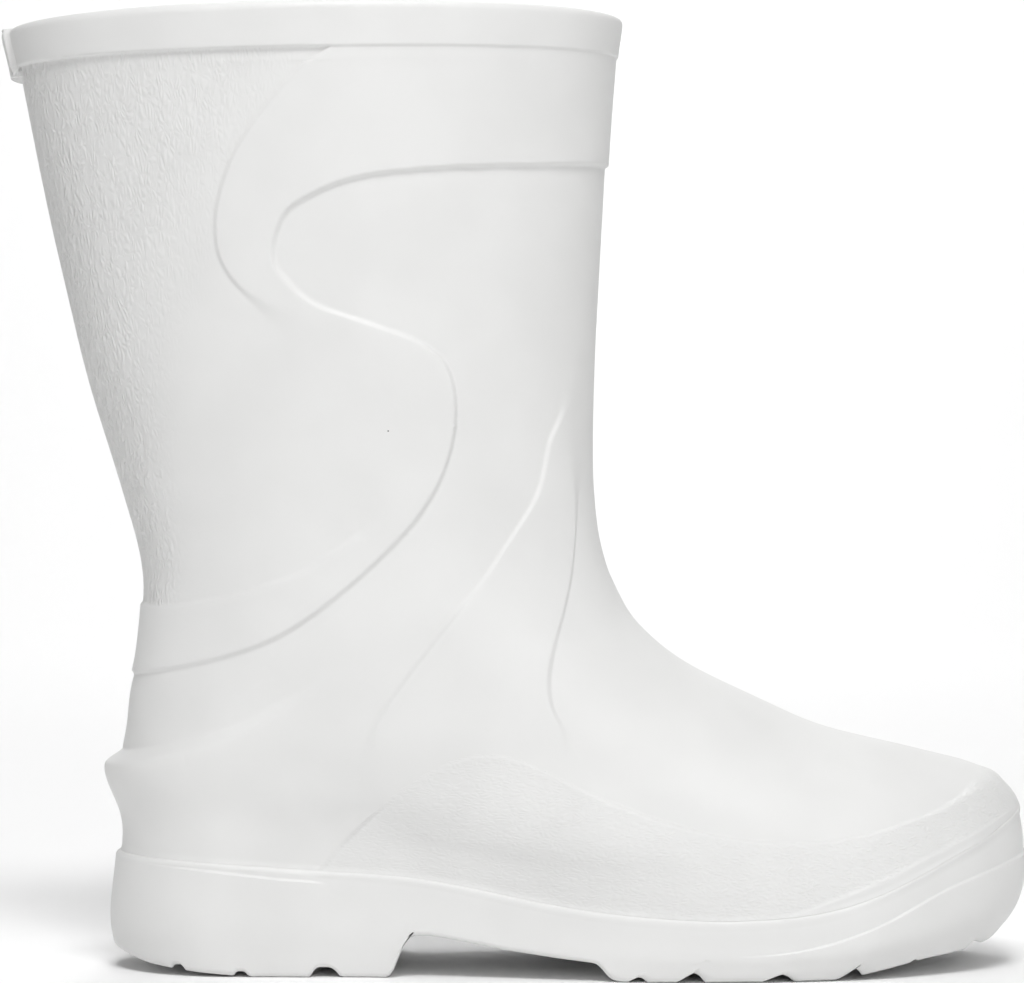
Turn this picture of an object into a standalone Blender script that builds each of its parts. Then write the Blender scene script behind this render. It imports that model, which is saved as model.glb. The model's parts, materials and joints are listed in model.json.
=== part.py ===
"""A slip-on moulded foam work boot, right foot, as three solids: upper, outsole and insole.

The origin is on the floor, under the middle of the heel. +X runs to the toe, +Y to the inner side of the foot, +Z up.
Heights in the tables are in storeys: 0 to 1 is the foot, floor to ankle, and 1 to 2 is the shaft, ankle to collar.
A reach is a share of LENGTH, counted from the back of the heel. Half widths are shares of half of BALL_WIDTH.
"""

import math

import bmesh
import bpy
import numpy as np

# Driving sizes, in metres
LENGTH = 0.300
ANKLE_HEIGHT = 0.130
SHAFT_HEIGHT = 0.181
BALL_WIDTH = 0.106
WALL = 0.0045
FIT_GAP = 0.0003
INSOLE_THICKNESS = 0.0040
INSOLE_PLAY = 0.0005
BED_CORNER = 0.0045
SOLE_STEP = 0.0010
SOLE_BAND_STEP = 0.0007
BAND_HEIGHT = 0.0120
BAND_STEP = 0.0022
BAND_SPREAD = 0.0010
RIM_ARCH = 0.0014
RIM_ROUND = 0.0015
RIM_INSET = 0.0012
GUARD_OVERLAP = 0.0036
GUARD_STEP = 0.0011
MUDGUARD_STEP = 0.0009
SPUR_REACH = 0.0068
SPUR_LENGTH = 0.078
SPUR_SINK = 0.0010
TAB_WIDTH = 0.020
TAB_HEIGHT = 0.0145
TAB_STEP = 0.0022
GROOVE_DEPTH = 0.0032
SHALLOW_DEPTH = 0.0016
GROOVE_WIDTH = 0.0085
GROOVE_SWEEP = 0.009
CHANNEL_WIDTH = 0.0050
CHANNEL_DEPTH = 0.0026

# How finely the loft, and the panels' edges seen from the side, are cut into facets
TURNS = 44
INNER_TURNS = 32
GUARD_POINTS = 60
MUDGUARD_POINTS = 30
SPLIT_POINTS = 30
CHANNEL_POINTS = 4

# How far a step's face leans from its foot to its edge, and how far the blanks and cutters run past what they cut
STEP_LEAN = 0.0004
BLANK_PAST = 0.004
CUTTER_FLOOR = -0.02
CUTTER_PAST = 0.12

# In storeys: the ring in the sole's top line, the rings that the raised panels span, and a level above the rim
SOLE_RISE = 0.285
GUARD_FROM = 0.60
MUDGUARD_TO = 0.85
ABOVE_RIM = 2.2

# The origin's reach
ORIGIN_REACH = 0.215

# The flare's lip: rounds that find it on the skin, the rises it keeps to, and how fast the flare thins forward
LIP_ROUNDS = 12
LIP_RISES = (0.40, 0.66)
FLARE_FADE = 1.5
AHEAD_SINK = 3.0

HALF_BALL = BALL_WIDTH / 2
FRAME = "boot_frame"

# Back of the boot, heel to collar: rise of the ring, reach
BACK_LINE = (
    (0.240, 0.0085),
    (0.315, 0.0110),
    (0.423, 0.0107),
    (0.552, 0.0115),
    (0.602, 0.0154),
    (0.653, 0.0177),
    (0.704, 0.0207),
    (0.754, 0.0262),
    (0.854, 0.0325),
    (0.931, 0.0352),
    (1.005, 0.0337),
    (1.115, 0.0173),
    (1.188, 0.0040),
    (1.334, -0.0233),
    (1.481, -0.0453),
    (1.624, -0.0653),
    (1.773, -0.0840),
    (1.978, -0.1080),
)

# Front of the boot, toe tip over the vamp to the collar: rise of the ring, reach, height
FRONT_LINE = (
    (0.240, 1.0020, 0.285),
    (0.285, 1.0030, 0.385),
    (0.304, 0.9955, 0.431),
    (0.323, 0.9820, 0.466),
    (0.342, 0.9640, 0.495),
    (0.362, 0.9180, 0.524),
    (0.388, 0.8610, 0.556),
    (0.415, 0.7940, 0.593),
    (0.454, 0.7280, 0.653),
    (0.492, 0.6680, 0.718),
    (0.546, 0.6200, 0.779),
    (0.615, 0.5830, 0.850),
    (0.708, 0.5600, 0.923),
    (0.831, 0.5417, 1.014),
    (0.962, 0.5323, 1.088),
    (1.083, 0.5283, 1.177),
    (1.193, 0.5283, 1.265),
    (1.387, 0.5310, 1.414),
    (1.608, 0.5380, 1.630),
    (1.732, 0.5420, 1.751),
    (1.978, 0.5535, 2.000),
)

# Fullness of each ring: rise, half widths at heel, waist, ball and tip, then the rounding lengths, and the share
# of the sole line's dip that the ring still follows
FULLNESS = (
    (0.240, 0.675, 0.705, 0.975, 0.880, 0.127, 0.193, 1.00),
    (0.285, 0.679, 0.717, 0.981, 0.887, 0.127, 0.193, 1.00),
    (0.323, 0.679, 0.736, 0.985, 0.868, 0.127, 0.187, 0.90),
    (0.362, 0.675, 0.755, 0.970, 0.849, 0.127, 0.183, 0.72),
    (0.415, 0.670, 0.774, 0.890, 0.849, 0.127, 0.197, 0.45),
    (0.492, 0.670, 0.774, 0.825, 0.802, 0.130, 0.200, 0.15),
    (0.546, 0.672, 0.774, 0.802, 0.774, 0.134, 0.195, 0.03),
    (0.615, 0.680, 0.774, 0.792, 0.755, 0.140, 0.193, 0.00),
    (0.831, 0.717, 0.774, 0.774, 0.736, 0.167, 0.203, 0.00),
    (1.000, 0.774, 0.792, 0.792, 0.774, 0.203, 0.220, 0.00),
    (1.400, 0.895, 0.905, 0.905, 0.895, 0.257, 0.263, 0.00),
    (1.978, 1.080, 1.085, 1.085, 1.080, 0.327, 0.327, 0.00),
)
STATIONS = (0.13, 0.40, 0.68, 0.90)

# The sole's top line, seen from the side: share of the way from heel to toe, height
SOLE_LINE = (
    (0.000, 0.285),
    (0.100, 0.274),
    (0.237, 0.252),
    (0.330, 0.236),
    (0.420, 0.199),
    (0.500, 0.165),
    (0.573, 0.146),
    (0.640, 0.137),
    (0.714, 0.140),
    (0.780, 0.160),
    (0.840, 0.205),
    (0.900, 0.268),
    (0.957, 0.330),
    (1.000, 0.385),
)

# The second line on the sole's side, which steps out at the heel and again round the toe: share, height, step
BAND_LINE = (
    (0.000, 0.265, 1.0),
    (0.100, 0.252, 1.0),
    (0.200, 0.233, 1.0),
    (0.270, 0.210, 0.0),
    (0.400, 0.160, 0.0),
    (0.550, 0.090, 0.0),
    (0.680, 0.066, 0.0),
    (0.740, 0.076, 0.6),
    (0.790, 0.103, 1.0),
    (0.840, 0.148, 1.0),
    (0.890, 0.205, 1.0),
    (0.945, 0.250, 1.0),
    (1.000, 0.285, 1.0),
)

# The sole's wall below its top line: share of the way up, heel reach, toe reach, fullness
SOLE_WALL = (
    (-0.15, 0.0240, 0.9250, 0.93),
    (0.00, 0.0150, 0.9450, 0.96),
    (0.13, 0.0075, 0.9650, 0.98),
    (0.25, 0.0035, 0.9820, 0.99),
    (0.38, 0.0010, 0.9940, 1.00),
    (0.64, 0.0020, 1.0035, 1.00),
    (0.85, 0.0035, 1.0055, 1.00),
    (1.00, 0.0042, 1.0035, 1.00),
)

# The footbed inside, seen from the side: share of the way from heel to toe, height
BED_LINE = (
    (0.00, 0.180),
    (0.25, 0.175),
    (0.40, 0.150),
    (0.55, 0.112),
    (0.68, 0.096),
    (0.85, 0.102),
    (1.00, 0.140),
)

# Sideways swing of the foot's middle line, to the inner side: reach, share of BALL_WIDTH
# and below the ankle, the storeys over which it fades in
SWING_FADE = 0.5
SWING = ((0.00, 0.000), (0.20, -0.004), (0.42, -0.022), (0.63, 0.000), (0.80, 0.042), (1.00, 0.085))

# The underside, seen from the side: reach, height
UNDERSIDE = (
    (-0.100, 0.075),
    (0.010, 0.050),
    (0.050, 0.025),
    (0.105, 0.010),
    (0.160, 0.000),
    (0.310, 0.000),
    (0.329, 0.112),
    (0.363, 0.102),
    (0.427, 0.075),
    (0.490, 0.055),
    (0.530, 0.045),
    (0.541, 0.010),
    (0.552, 0.000),
    (0.785, 0.000),
    (0.830, 0.020),
    (0.880, 0.044),
    (0.931, 0.057),
    (0.956, 0.070),
    (0.980, 0.119),
    (1.000, 0.190),
    (1.100, 0.400),
)

# Edge of the raised shaft guard, from the front of the shaft round its S to the back of the heel: reach, height
GUARD_LINE = (
    (0.620, 1.735),
    (0.542, 1.732),
    (0.492, 1.723),
    (0.406, 1.713),
    (0.321, 1.701),
    (0.257, 1.680),
    (0.214, 1.646),
    (0.193, 1.602),
    (0.187, 1.556),
    (0.198, 1.517),
    (0.213, 1.490),
    (0.267, 1.447),
    (0.320, 1.417),
    (0.360, 1.380),
    (0.376, 1.331),
    (0.379, 1.279),
    (0.374, 1.217),
    (0.352, 1.128),
    (0.309, 1.039),
    (0.255, 0.942),
    (0.202, 0.855),
    (0.137, 0.792),
    (0.082, 0.761),
    (0.024, 0.738),
    (-0.100, 0.730),
)

# Upper edge of the raised mudguard, from the sole line at the waist over its peak to the toe: reach, height
MUDGUARD_LINE = (
    (0.200, 0.170),
    (0.230, 0.252),
    (0.267, 0.348),
    (0.320, 0.459),
    (0.363, 0.522),
    (0.417, 0.552),
    (0.459, 0.530),
    (0.513, 0.468),
    (0.577, 0.408),
    (0.641, 0.364),
    (0.726, 0.338),
    (0.800, 0.348),
    (0.878, 0.392),
    (0.924, 0.435),
    (0.960, 0.485),
    (1.080, 0.560),
)

# Lip of the heel's flare, with its kick-off spur at the back: reach, height
SPUR_LINE = (
    (-0.100, 0.498),
    (0.000, 0.500),
    (0.030, 0.510),
    (0.083, 0.538),
    (0.140, 0.580),
    (0.196, 0.646),
    (0.247, 0.727),
)

# The flare's profile, from the sole line over its lip to the heel above: storeys above the lip, share of SPUR_REACH
SPUR_PROFILE = (
    (-0.215, -0.30),
    (-0.190, 0.02),
    (-0.155, 0.16),
    (-0.110, 0.33),
    (-0.058, 0.72),
    (-0.020, 0.96),
    (0.000, 1.00),
    (0.016, 0.93),
    (0.055, 0.42),
    (0.085, 0.17),
    (0.120, -0.20),
)

# Transverse tread grooves: reach at the sole's edge, share of GROOVE_WIDTH, deep or shallow
GROOVES = (
    (0.083, 0.5, "shallow"),
    (0.150, 0.5, "shallow"),
    (0.240, 1.0, "deep"),
    (0.572, 0.6, "shallow"),
    (0.628, 0.9, "deep"),
    (0.721, 1.0, "shallow"),
    (0.796, 1.0, "deep"),
    (0.870, 0.6, "shallow"),
    (0.928, 0.7, "shallow"),
)

# A groove's arched section: share of its width, share of its depth
GROOVE_SECTION = ((-0.70, 0.0), (-0.42, 0.72), (-0.20, 1.0), (0.20, 1.0), (0.42, 0.72), (0.70, 0.0))

# Lengthwise tread channels: first reach, last reach, offset as a share of BALL_WIDTH
CHANNELS = (
    (0.575, 0.900, -0.13),
    (0.575, 0.900, 0.19),
)


def spline(rows, at, column=1):
    """A natural cubic curve through the rows' column, over their first column, held straight past its ends."""
    knots = np.array([row[0] for row in rows])
    values = np.array([row[column] for row in rows])
    steps, count = np.diff(knots), len(knots)
    matrix, right = np.eye(count), np.zeros(count)
    for i in range(1, count - 1):
        matrix[i, i - 1 : i + 2] = steps[i - 1], 2 * (steps[i - 1] + steps[i]), steps[i]
        right[i] = 6 * ((values[i + 1] - values[i]) / steps[i] - (values[i] - values[i - 1]) / steps[i - 1])
    bend = np.linalg.solve(matrix, right)
    at = np.clip(np.asarray(at, float), knots[0], knots[-1])
    i = np.clip(np.searchsorted(knots, at) - 1, 0, count - 2)
    step, low, high = steps[i], knots[i + 1] - at, at - knots[i]
    return (
        (bend[i] * low**3 + bend[i + 1] * high**3) / (6 * step)
        + (values[i] / step - bend[i] * step / 6) * low
        + (values[i + 1] / step - bend[i + 1] * step / 6) * high
    )


def height(storeys):
    """Metres above the floor."""
    storeys = np.asarray(storeys, float)
    return np.minimum(storeys, 1) * ANKLE_HEIGHT + np.maximum(storeys - 1, 0) * SHAFT_HEIGHT


def swing(reach):
    return spline(SWING, reach) * BALL_WIDTH


def half_width(rise, share):
    """Half the width of a ring, before its ends are rounded: the four stations' widths, joined by a smooth curve."""
    found = 0
    for station in range(len(STATIONS)):
        only_this = [(at, float(at == STATIONS[station])) for at in STATIONS]
        found = found + spline(FULLNESS, rise, station + 1) * spline(only_this, share)
    return found * HALF_BALL


def rounded(distance, length):
    """A quarter ellipse: from 0 at the end of a ring to 1 at the given length from it."""
    return np.sqrt(1 - (1 - np.clip(distance / length, 0, 1)) ** 2)


def sole_line(share):
    return height(spline(SOLE_LINE, share))


def skin(rise, turn):
    """A point of the boot's outer wall, before its bands and panels: rise picks the ring, turn the place round it.

    Turn 0 is the back of the ring, a quarter turn the outer side, half a turn the front.
    """
    rise, turn = np.broadcast_arrays(np.asarray(rise, float), np.asarray(turn, float))
    share = (1 - np.cos(turn)) / 2
    back, front = spline(BACK_LINE, rise) * LENGTH, spline(FRONT_LINE, rise) * LENGTH
    x = back + (front - back) * share
    side = half_width(rise, share) * rounded(x - back, spline(FULLNESS, rise, 5) * LENGTH)
    side = side * rounded(front - x, spline(FULLNESS, rise, 6) * LENGTH) * -np.sign(np.sin(turn))
    first, last = height(rise), height(spline(FRONT_LINE, rise, 2))
    chord = sole_line(0) + (sole_line(1) - sole_line(0)) * share
    z = first + (last - first) * share + spline(FULLNESS, rise, 7) * (sole_line(share) - chord)
    foot = np.clip((1.0 - rise) / SWING_FADE, 0, 1)
    return np.stack([x, side + swing(x / LENGTH) * foot, z], axis=-1)


def outward(rise, turn):
    """Unit normals of the skin."""
    small = 1e-3
    along = skin(rise, turn + small) - skin(rise, turn - small)
    up = skin(rise + small, turn) - skin(rise - small, turn)
    normal = np.cross(along, up)
    return normal / np.linalg.norm(normal, axis=-1, keepdims=True)


def ring(rise, turns, push=0.0):
    return skin(rise, turns) + outward(rise, turns) * np.reshape(push, (-1, 1))


def around(count):
    return np.arange(count) * 2 * math.pi / count


def link(bm, name, colour=None, roughness=0.5, group=None):
    """Makes the mesh an object: a part in the boot's collection, or a cutter in the other one."""
    bmesh.ops.recalc_face_normals(bm, faces=bm.faces)
    mesh = bpy.data.meshes.new(name)
    bm.to_mesh(mesh)
    bm.free()
    thing = bpy.data.objects.new(name, mesh)
    thing.parent = bpy.data.objects[FRAME]
    group.objects.link(thing)
    if colour is None:
        thing.hide_render = True
        thing.display_type = "WIRE"
        return thing
    mesh.shade_smooth()
    mesh.set_sharp_from_angle(angle=math.radians(35))
    material = bpy.data.materials.new(name)
    material.use_nodes = True
    surface = material.node_tree.nodes["Principled BSDF"]
    surface.inputs["Base Color"].default_value = (*colour, 1)
    surface.inputs["Roughness"].default_value = roughness
    surface.inputs["Metallic"].default_value = 0
    mesh.materials.append(material)
    return thing


def loft(rings):
    """A closed solid through rings of equally many points, each end capped with rungs from side to side."""
    bm = bmesh.new()
    rows = [[bm.verts.new(point) for point in points] for points in rings]
    count = len(rows[0])
    for low, high in zip(rows, rows[1:]):
        for i in range(count):
            j = (i + 1) % count
            bm.faces.new((low[i], low[j], high[j], high[i]))
    for row in (rows[0], rows[-1]):
        for i in range(count // 2):
            rung = [row[i], row[i + 1], row[count - i - 1], row[(count - i) % count]]
            bm.faces.new(list(dict.fromkeys(rung)))
    return bm


def prism(outline, axis, first, last):
    """A flat outline, drawn across one axis and extruded along it."""
    bm = bmesh.new()
    corners = [np.insert(np.asarray(point, float), axis, first) for point in outline]
    face = bm.faces.new([bm.verts.new(corner) for corner in corners])
    grown = bmesh.ops.extrude_face_region(bm, geom=[face])["geom"]
    step = np.insert(np.zeros(2), axis, last - first)
    bmesh.ops.translate(bm, vec=step, verts=[v for v in grown if isinstance(v, bmesh.types.BMVert)])
    return bm


def side_view(rows, count=0):
    """Rows of reach and height as points in metres, smoothed to count points where count is given."""
    points = [(row[0], float(height(row[1]))) for row in rows]
    if count:
        steps = np.cumsum([0] + [math.dist(a, b) for a, b in zip(points, points[1:])])
        even = np.linspace(0, steps[-1], count)
        columns = [spline([(s, p[k]) for s, p in zip(steps, points)], even) for k in (0, 1)]
        points = list(zip(*columns))
    return [(x * LENGTH, z) for x, z in points]


def across(name, outline, group):
    """A cutter or window that runs right across the boot: an outline drawn in the side view."""
    return link(prism(outline, 1, -CUTTER_PAST, CUTTER_PAST), name, group=group)


def boolean(thing, operation, other):
    modifier = thing.modifiers.new(other.name, "BOOLEAN")
    modifier.operation = operation
    modifier.solver = "EXACT"
    modifier.object = other


def split_line(lift):
    """The sole's top line from behind the heel to past the toe, raised by lift."""
    shares = np.linspace(0, 1, SPLIT_POINTS)
    back, front = LENGTH * spline(BACK_LINE, SOLE_RISE), LENGTH * spline(FRONT_LINE, SOLE_RISE)
    xs = back + (front - back) * shares
    zs = sole_line(shares) + lift
    return [(back - CUTTER_PAST, zs[0]), *zip(xs, zs), (front + CUTTER_PAST, zs[-1])]


def outer_rises():
    """The rings of the upper's outer wall, close together over the vamp, where each one covers more ground."""
    vamp = np.linspace(FRONT_LINE[0][0], 0.50, 17)
    ankle = np.linspace(0.53, 1.00, 9)
    shaft = np.linspace(1.08, 1.88, 9)
    return [*vamp, *ankle, *shaft]


TOP = FRONT_LINE[-1][0]


def band_bottom():
    return TOP - BAND_HEIGHT / SHAFT_HEIGHT


def outer_form():
    """The whole outer wall with its collar band, from inside the sole up to the rim."""
    turns = around(TURNS)
    edge = STEP_LEAN / SHAFT_HEIGHT
    rings = [ring(rise, turns) for rise in outer_rises() if rise < band_bottom() - 2 * edge]
    arch = np.sin(turns) ** 2
    for rise, push, lift in (
        (band_bottom() - edge, 0.0, -BAND_SPREAD),
        (band_bottom(), BAND_STEP, -BAND_SPREAD),
        (TOP - RIM_ROUND / SHAFT_HEIGHT, BAND_STEP, RIM_ARCH),
        (TOP, BAND_STEP - RIM_INSET, RIM_ARCH),
    ):
        points = ring(rise, turns, push)
        points[:, 2] += lift * arch
        rings.append(points)
    return loft(rings)


def cavity(group):
    """The space for the foot: the skin moved in by the wall, with its own footbed below the sole line."""
    turns = around(INNER_TURNS)
    vamp, ankle, shaft = np.linspace(0.31, 0.50, 9), np.linspace(0.55, 1.0, 7), np.linspace(1.12, TOP, 7)
    rings = bed_rings(turns, 0.0, (0.0, BED_CORNER))
    rings += [ring(rise, turns, -WALL) for rise in (SOLE_RISE, *vamp, *ankle, *shaft)]
    over = rings[-1].copy()
    over[:, 2] += BLANK_PAST + RIM_ARCH
    rings.append(over)
    return link(loft(rings), "foot_space", group=group)


def bed_rings(turns, play, lifts):
    """Rings of the foot space at the footbed: its floor, and the wall above the rounded corner."""
    found = []
    for lift in lifts:
        points = ring(SOLE_RISE, turns, -(WALL + BED_CORNER - lift + play))
        share = (1 - np.cos(turns)) / 2
        points[:, 2] = height(spline(BED_LINE, share)) + lift
        found.append(points)
    return found


def raised(name, push, outline, group, rises=None):
    """A panel that stands proud: the skin moved out by push, kept only inside an outline seen from the side."""
    turns = around(TURNS)
    levels = outer_rises() if rises is None else rises
    panel = link(loft([ring(rise, turns, push) for rise in levels]), name, group=group)
    boolean(panel, "INTERSECT", across(name + "_window", outline, group))
    return panel


def flare(group):
    """The heel's flare, in rings that follow its lip: full at the back, and sunk into the wall ahead of the ankle."""
    turns = around(TURNS)
    lip = np.full(TURNS, SPUR_LINE[1][1])
    for _ in range(LIP_ROUNDS):
        points = skin(lip, turns)
        miss = height(spline(SPUR_LINE, points[:, 0] / LENGTH)) - points[:, 2]
        lip = np.clip(lip + miss / ANKLE_HEIGHT, *LIP_RISES)
    rings = []
    for above, grow in SPUR_PROFILE:
        points = skin(lip + above, turns)
        ahead = np.clip(points[:, 0] / SPUR_LENGTH, 0, 1)
        push = SPUR_REACH * (1 - ahead) ** FLARE_FADE * grow - SPUR_SINK * (1 + AHEAD_SINK * ahead**2)
        rings.append(points + outward(lip + above, turns) * push[:, None])
    return link(loft(rings), "heel_flare", group=group)


def tab(group):
    """The plain tab at the back of the collar."""
    top = skin(TOP, np.array([0.0]))[0]
    low = skin(TOP - TAB_HEIGHT / SHAFT_HEIGHT, np.array([0.0]))[0]
    out = BAND_STEP + TAB_STEP
    outline = [
        (top[0] + WALL / 2, top[2] - RIM_ROUND),
        (top[0] - out, top[2] - RIM_ROUND),
        (low[0] - out, low[2]),
        (low[0] + WALL / 2, low[2]),
    ]
    return link(prism(outline, 1, -TAB_WIDTH / 2, TAB_WIDTH / 2), "collar_tab", group=group)


def build_upper(parts, cutters, foot_space):
    upper = link(outer_form(), "upper", (0.80, 0.80, 0.80), 0.45, group=parts)
    guard = side_view(GUARD_LINE, GUARD_POINTS)
    high = float(height(ABOVE_RIM))
    guard += [(guard[-1][0], high), (guard[0][0], high)]
    under_band = [rise for rise in outer_rises() if GUARD_FROM < rise]
    under_band.append(band_bottom() + GUARD_OVERLAP / SHAFT_HEIGHT)
    boolean(upper, "UNION", raised("shaft_guard", GUARD_STEP, guard, cutters, under_band))
    mud = side_view(MUDGUARD_LINE, MUDGUARD_POINTS)
    mud += [(mud[-1][0], CUTTER_FLOOR), (mud[0][0], CUTTER_FLOOR)]
    low = [rise for rise in outer_rises() if rise < MUDGUARD_TO]
    boolean(upper, "UNION", raised("mudguard", MUDGUARD_STEP, mud, cutters, low))
    boolean(upper, "UNION", flare(cutters))
    boolean(upper, "UNION", tab(cutters))
    boolean(upper, "DIFFERENCE", foot_space)
    line = split_line(FIT_GAP)
    outline = [(line[0][0], CUTTER_FLOOR), *line, (line[-1][0], CUTTER_FLOOR)]
    boolean(upper, "DIFFERENCE", across("below_the_upper", outline, cutters))
    return upper


def sole_ring(up, turns, push):
    """A ring of the sole's wall: up is the share of the way from the floor to the sole line, one for each turn."""
    share = (1 - np.cos(turns)) / 2
    points = ring(SOLE_RISE, turns, push)
    middle = swing(points[:, 0] / LENGTH)
    back, front = spline(SOLE_WALL, up, 1) * LENGTH, spline(SOLE_WALL, up, 2) * LENGTH
    base = ring(SOLE_RISE, np.array([0.0, math.pi]), 0.0)[:, 0]
    along = (skin(SOLE_RISE, turns)[:, 0] - base[0]) / (base[1] - base[0])
    points[:, 0] += (back - base[0] + SOLE_STEP) * (1 - along) + (front - base[1] - SOLE_STEP) * along
    points[:, 1] = middle + (points[:, 1] - middle) * spline(SOLE_WALL, up, 3)
    points[:, 2] = sole_line(share) * up
    return points


def sole_form():
    """The sole's blank: its wall with the second line's step, from below the floor to above the sole line."""
    turns = around(TURNS)
    share = (1 - np.cos(turns)) / 2
    line = height(spline(BAND_LINE, share)) / sole_line(share)
    step = np.clip(spline(BAND_LINE, share, 2), 0, 1) * SOLE_BAND_STEP
    edge = STEP_LEAN / sole_line(share)
    under = SOLE_STEP + step
    flat = np.ones(TURNS)
    rings = [
        sole_ring(-0.15 * flat, turns, under),
        sole_ring(0.0 * flat, turns, under),
        sole_ring(0.3 * line, turns, under),
        sole_ring(0.6 * line, turns, under),
        sole_ring(line - edge, turns, under),
        sole_ring(line + edge, turns, SOLE_STEP * flat),
        sole_ring(0.5 + 0.5 * line, turns, SOLE_STEP * flat),
        sole_ring(flat, turns, SOLE_STEP * flat),
    ]
    over = rings[-1].copy()
    over[:, 2] += BLANK_PAST
    return loft([*rings, over])


def groove(reach, width, depth):
    """A swept transverse groove, arched in section and open at both edges: a chevron that points to the toe."""
    x = reach * LENGTH
    floor = float(np.interp(x, *zip(*side_view(UNDERSIDE))))
    rings = []
    for y, shift in ((-BALL_WIDTH, -GROOVE_SWEEP), (0.0, GROOVE_SWEEP), (BALL_WIDTH, -GROOVE_SWEEP)):
        section = [(along * width, floor + up * depth) for along, up in GROOVE_SECTION]
        section = [(section[0][0], CUTTER_FLOOR), *section, (section[-1][0], CUTTER_FLOOR)]
        rings.append([(x + shift + along, y, z) for along, z in section])
    return loft(rings)


def channel(first, last, offset):
    """A lengthwise channel between lugs, level, and in line with the swing of the foot."""
    xs = np.linspace(first, last, CHANNEL_POINTS) * LENGTH
    ys = offset * BALL_WIDTH + swing(xs / LENGTH)
    half = CHANNEL_WIDTH / 2
    outline = [*zip(xs, ys - half), *zip(xs[::-1], ys[::-1] + half)]
    return prism(outline, 2, CUTTER_FLOOR, CHANNEL_DEPTH)


def build_outsole(parts, cutters, foot_space):
    outsole = link(sole_form(), "outsole", (0.78, 0.78, 0.78), 0.5, group=parts)
    line = split_line(0.0)
    above = float(height(ABOVE_RIM))
    outline = [(line[0][0], above), *line, (line[-1][0], above)]
    boolean(outsole, "DIFFERENCE", across("above_the_sole", outline, cutters))
    boolean(outsole, "DIFFERENCE", foot_space)
    under = side_view(UNDERSIDE)
    outline = [(under[0][0], CUTTER_FLOOR), *under, (under[-1][0], CUTTER_FLOOR)]
    boolean(outsole, "DIFFERENCE", across("below_the_sole", outline, cutters))
    for number, (reach, width, kind) in enumerate(GROOVES):
        depth = GROOVE_DEPTH if kind == "deep" else SHALLOW_DEPTH
        cut = link(groove(reach, width * GROOVE_WIDTH, depth), f"groove_{number}", group=cutters)
        boolean(outsole, "DIFFERENCE", cut)
    for number, (first, last, offset) in enumerate(CHANNELS):
        cut = link(channel(first, last, offset), f"channel_{number}", group=cutters)
        boolean(outsole, "DIFFERENCE", cut)
    return outsole


def build_insole(parts):
    """The loose footbed, which lies in the bottom of the foot space."""
    turns = around(INNER_TURNS)
    low = bed_rings(turns, INSOLE_PLAY, (FIT_GAP,))[0]
    high = bed_rings(turns, INSOLE_PLAY, (INSOLE_THICKNESS,))[0]
    return link(loft([low, high]), "insole", (0.72, 0.72, 0.70), 0.8, group=parts)


def collection(name):
    found = bpy.data.collections.new(name)
    bpy.context.scene.collection.children.link(found)
    return found


def main():
    for thing in list(bpy.data.objects):
        bpy.data.objects.remove(thing)
    parts, cutters = collection("work_boot"), collection("cutters")
    origin = bpy.data.objects.new(FRAME, None)
    origin.location.x = -ORIGIN_REACH * LENGTH
    parts.objects.link(origin)
    foot_space = cavity(cutters)
    build_upper(parts, cutters, foot_space)
    build_outsole(parts, cutters, foot_space)
    build_insole(parts)


main()
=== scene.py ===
# %% [markdown]
# # A white moulded work boot
# The boot is slip-on and comes out of a mould in one colour of light foam. Its panels, steps and grain
# are in the mould. Its solids come from a CAD model, which this script loads and never moves. Each
# visible piece is made again here, finer, from the same few sizes, so that it can carry the panels, the
# soft edges and the grain that the photo shows.

# %% Load the frame and keep its box
import bpy
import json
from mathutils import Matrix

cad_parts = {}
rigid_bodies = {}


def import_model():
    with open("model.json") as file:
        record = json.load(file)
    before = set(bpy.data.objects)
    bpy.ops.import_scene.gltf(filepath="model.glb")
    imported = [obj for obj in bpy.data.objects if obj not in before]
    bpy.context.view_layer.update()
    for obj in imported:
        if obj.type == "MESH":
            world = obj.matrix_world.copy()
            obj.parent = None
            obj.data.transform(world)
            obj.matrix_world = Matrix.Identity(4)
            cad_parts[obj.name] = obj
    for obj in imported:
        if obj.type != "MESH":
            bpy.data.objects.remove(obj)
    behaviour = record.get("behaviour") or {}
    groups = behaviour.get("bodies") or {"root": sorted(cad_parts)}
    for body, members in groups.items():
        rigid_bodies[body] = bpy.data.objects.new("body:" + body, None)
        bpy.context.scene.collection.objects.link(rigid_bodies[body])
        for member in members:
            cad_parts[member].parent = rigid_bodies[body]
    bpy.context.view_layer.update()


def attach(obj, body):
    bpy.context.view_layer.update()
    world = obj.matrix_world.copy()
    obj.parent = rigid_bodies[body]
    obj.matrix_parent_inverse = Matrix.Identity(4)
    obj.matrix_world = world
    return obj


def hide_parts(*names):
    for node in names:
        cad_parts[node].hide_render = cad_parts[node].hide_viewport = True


for thing in list(bpy.data.objects):
    bpy.data.objects.remove(thing)
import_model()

import json
import math

import bmesh
import numpy as np
from mathutils import Vector

# %% [markdown]
# ## Sizes
# A last, the form that a boot is made on, is known by its length, its width at the ball and the height of
# its parts. The sizes are those of the CAD model, in metres. Heights in the tables are in storeys: 0 to 1
# is the foot, floor to ankle, and 1 to 2 is the shaft, ankle to collar. A reach is a share of the length,
# counted from the heel's back.

# %% The last's sizes
LENGTH = 0.300
ANKLE_HEIGHT = 0.130
SHAFT_HEIGHT = 0.181
BALL_WIDTH = 0.106
ORIGIN_REACH = 0.215
WALL = 0.0045
SOLE_RISE = 0.285
SWING_FADE = 0.5
MM = 0.001


def height(storeys):
    """Metres above the floor."""
    storeys = np.asarray(storeys, float)
    return np.minimum(storeys, 1) * ANKLE_HEIGHT + np.maximum(storeys - 1, 0) * SHAFT_HEIGHT


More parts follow.
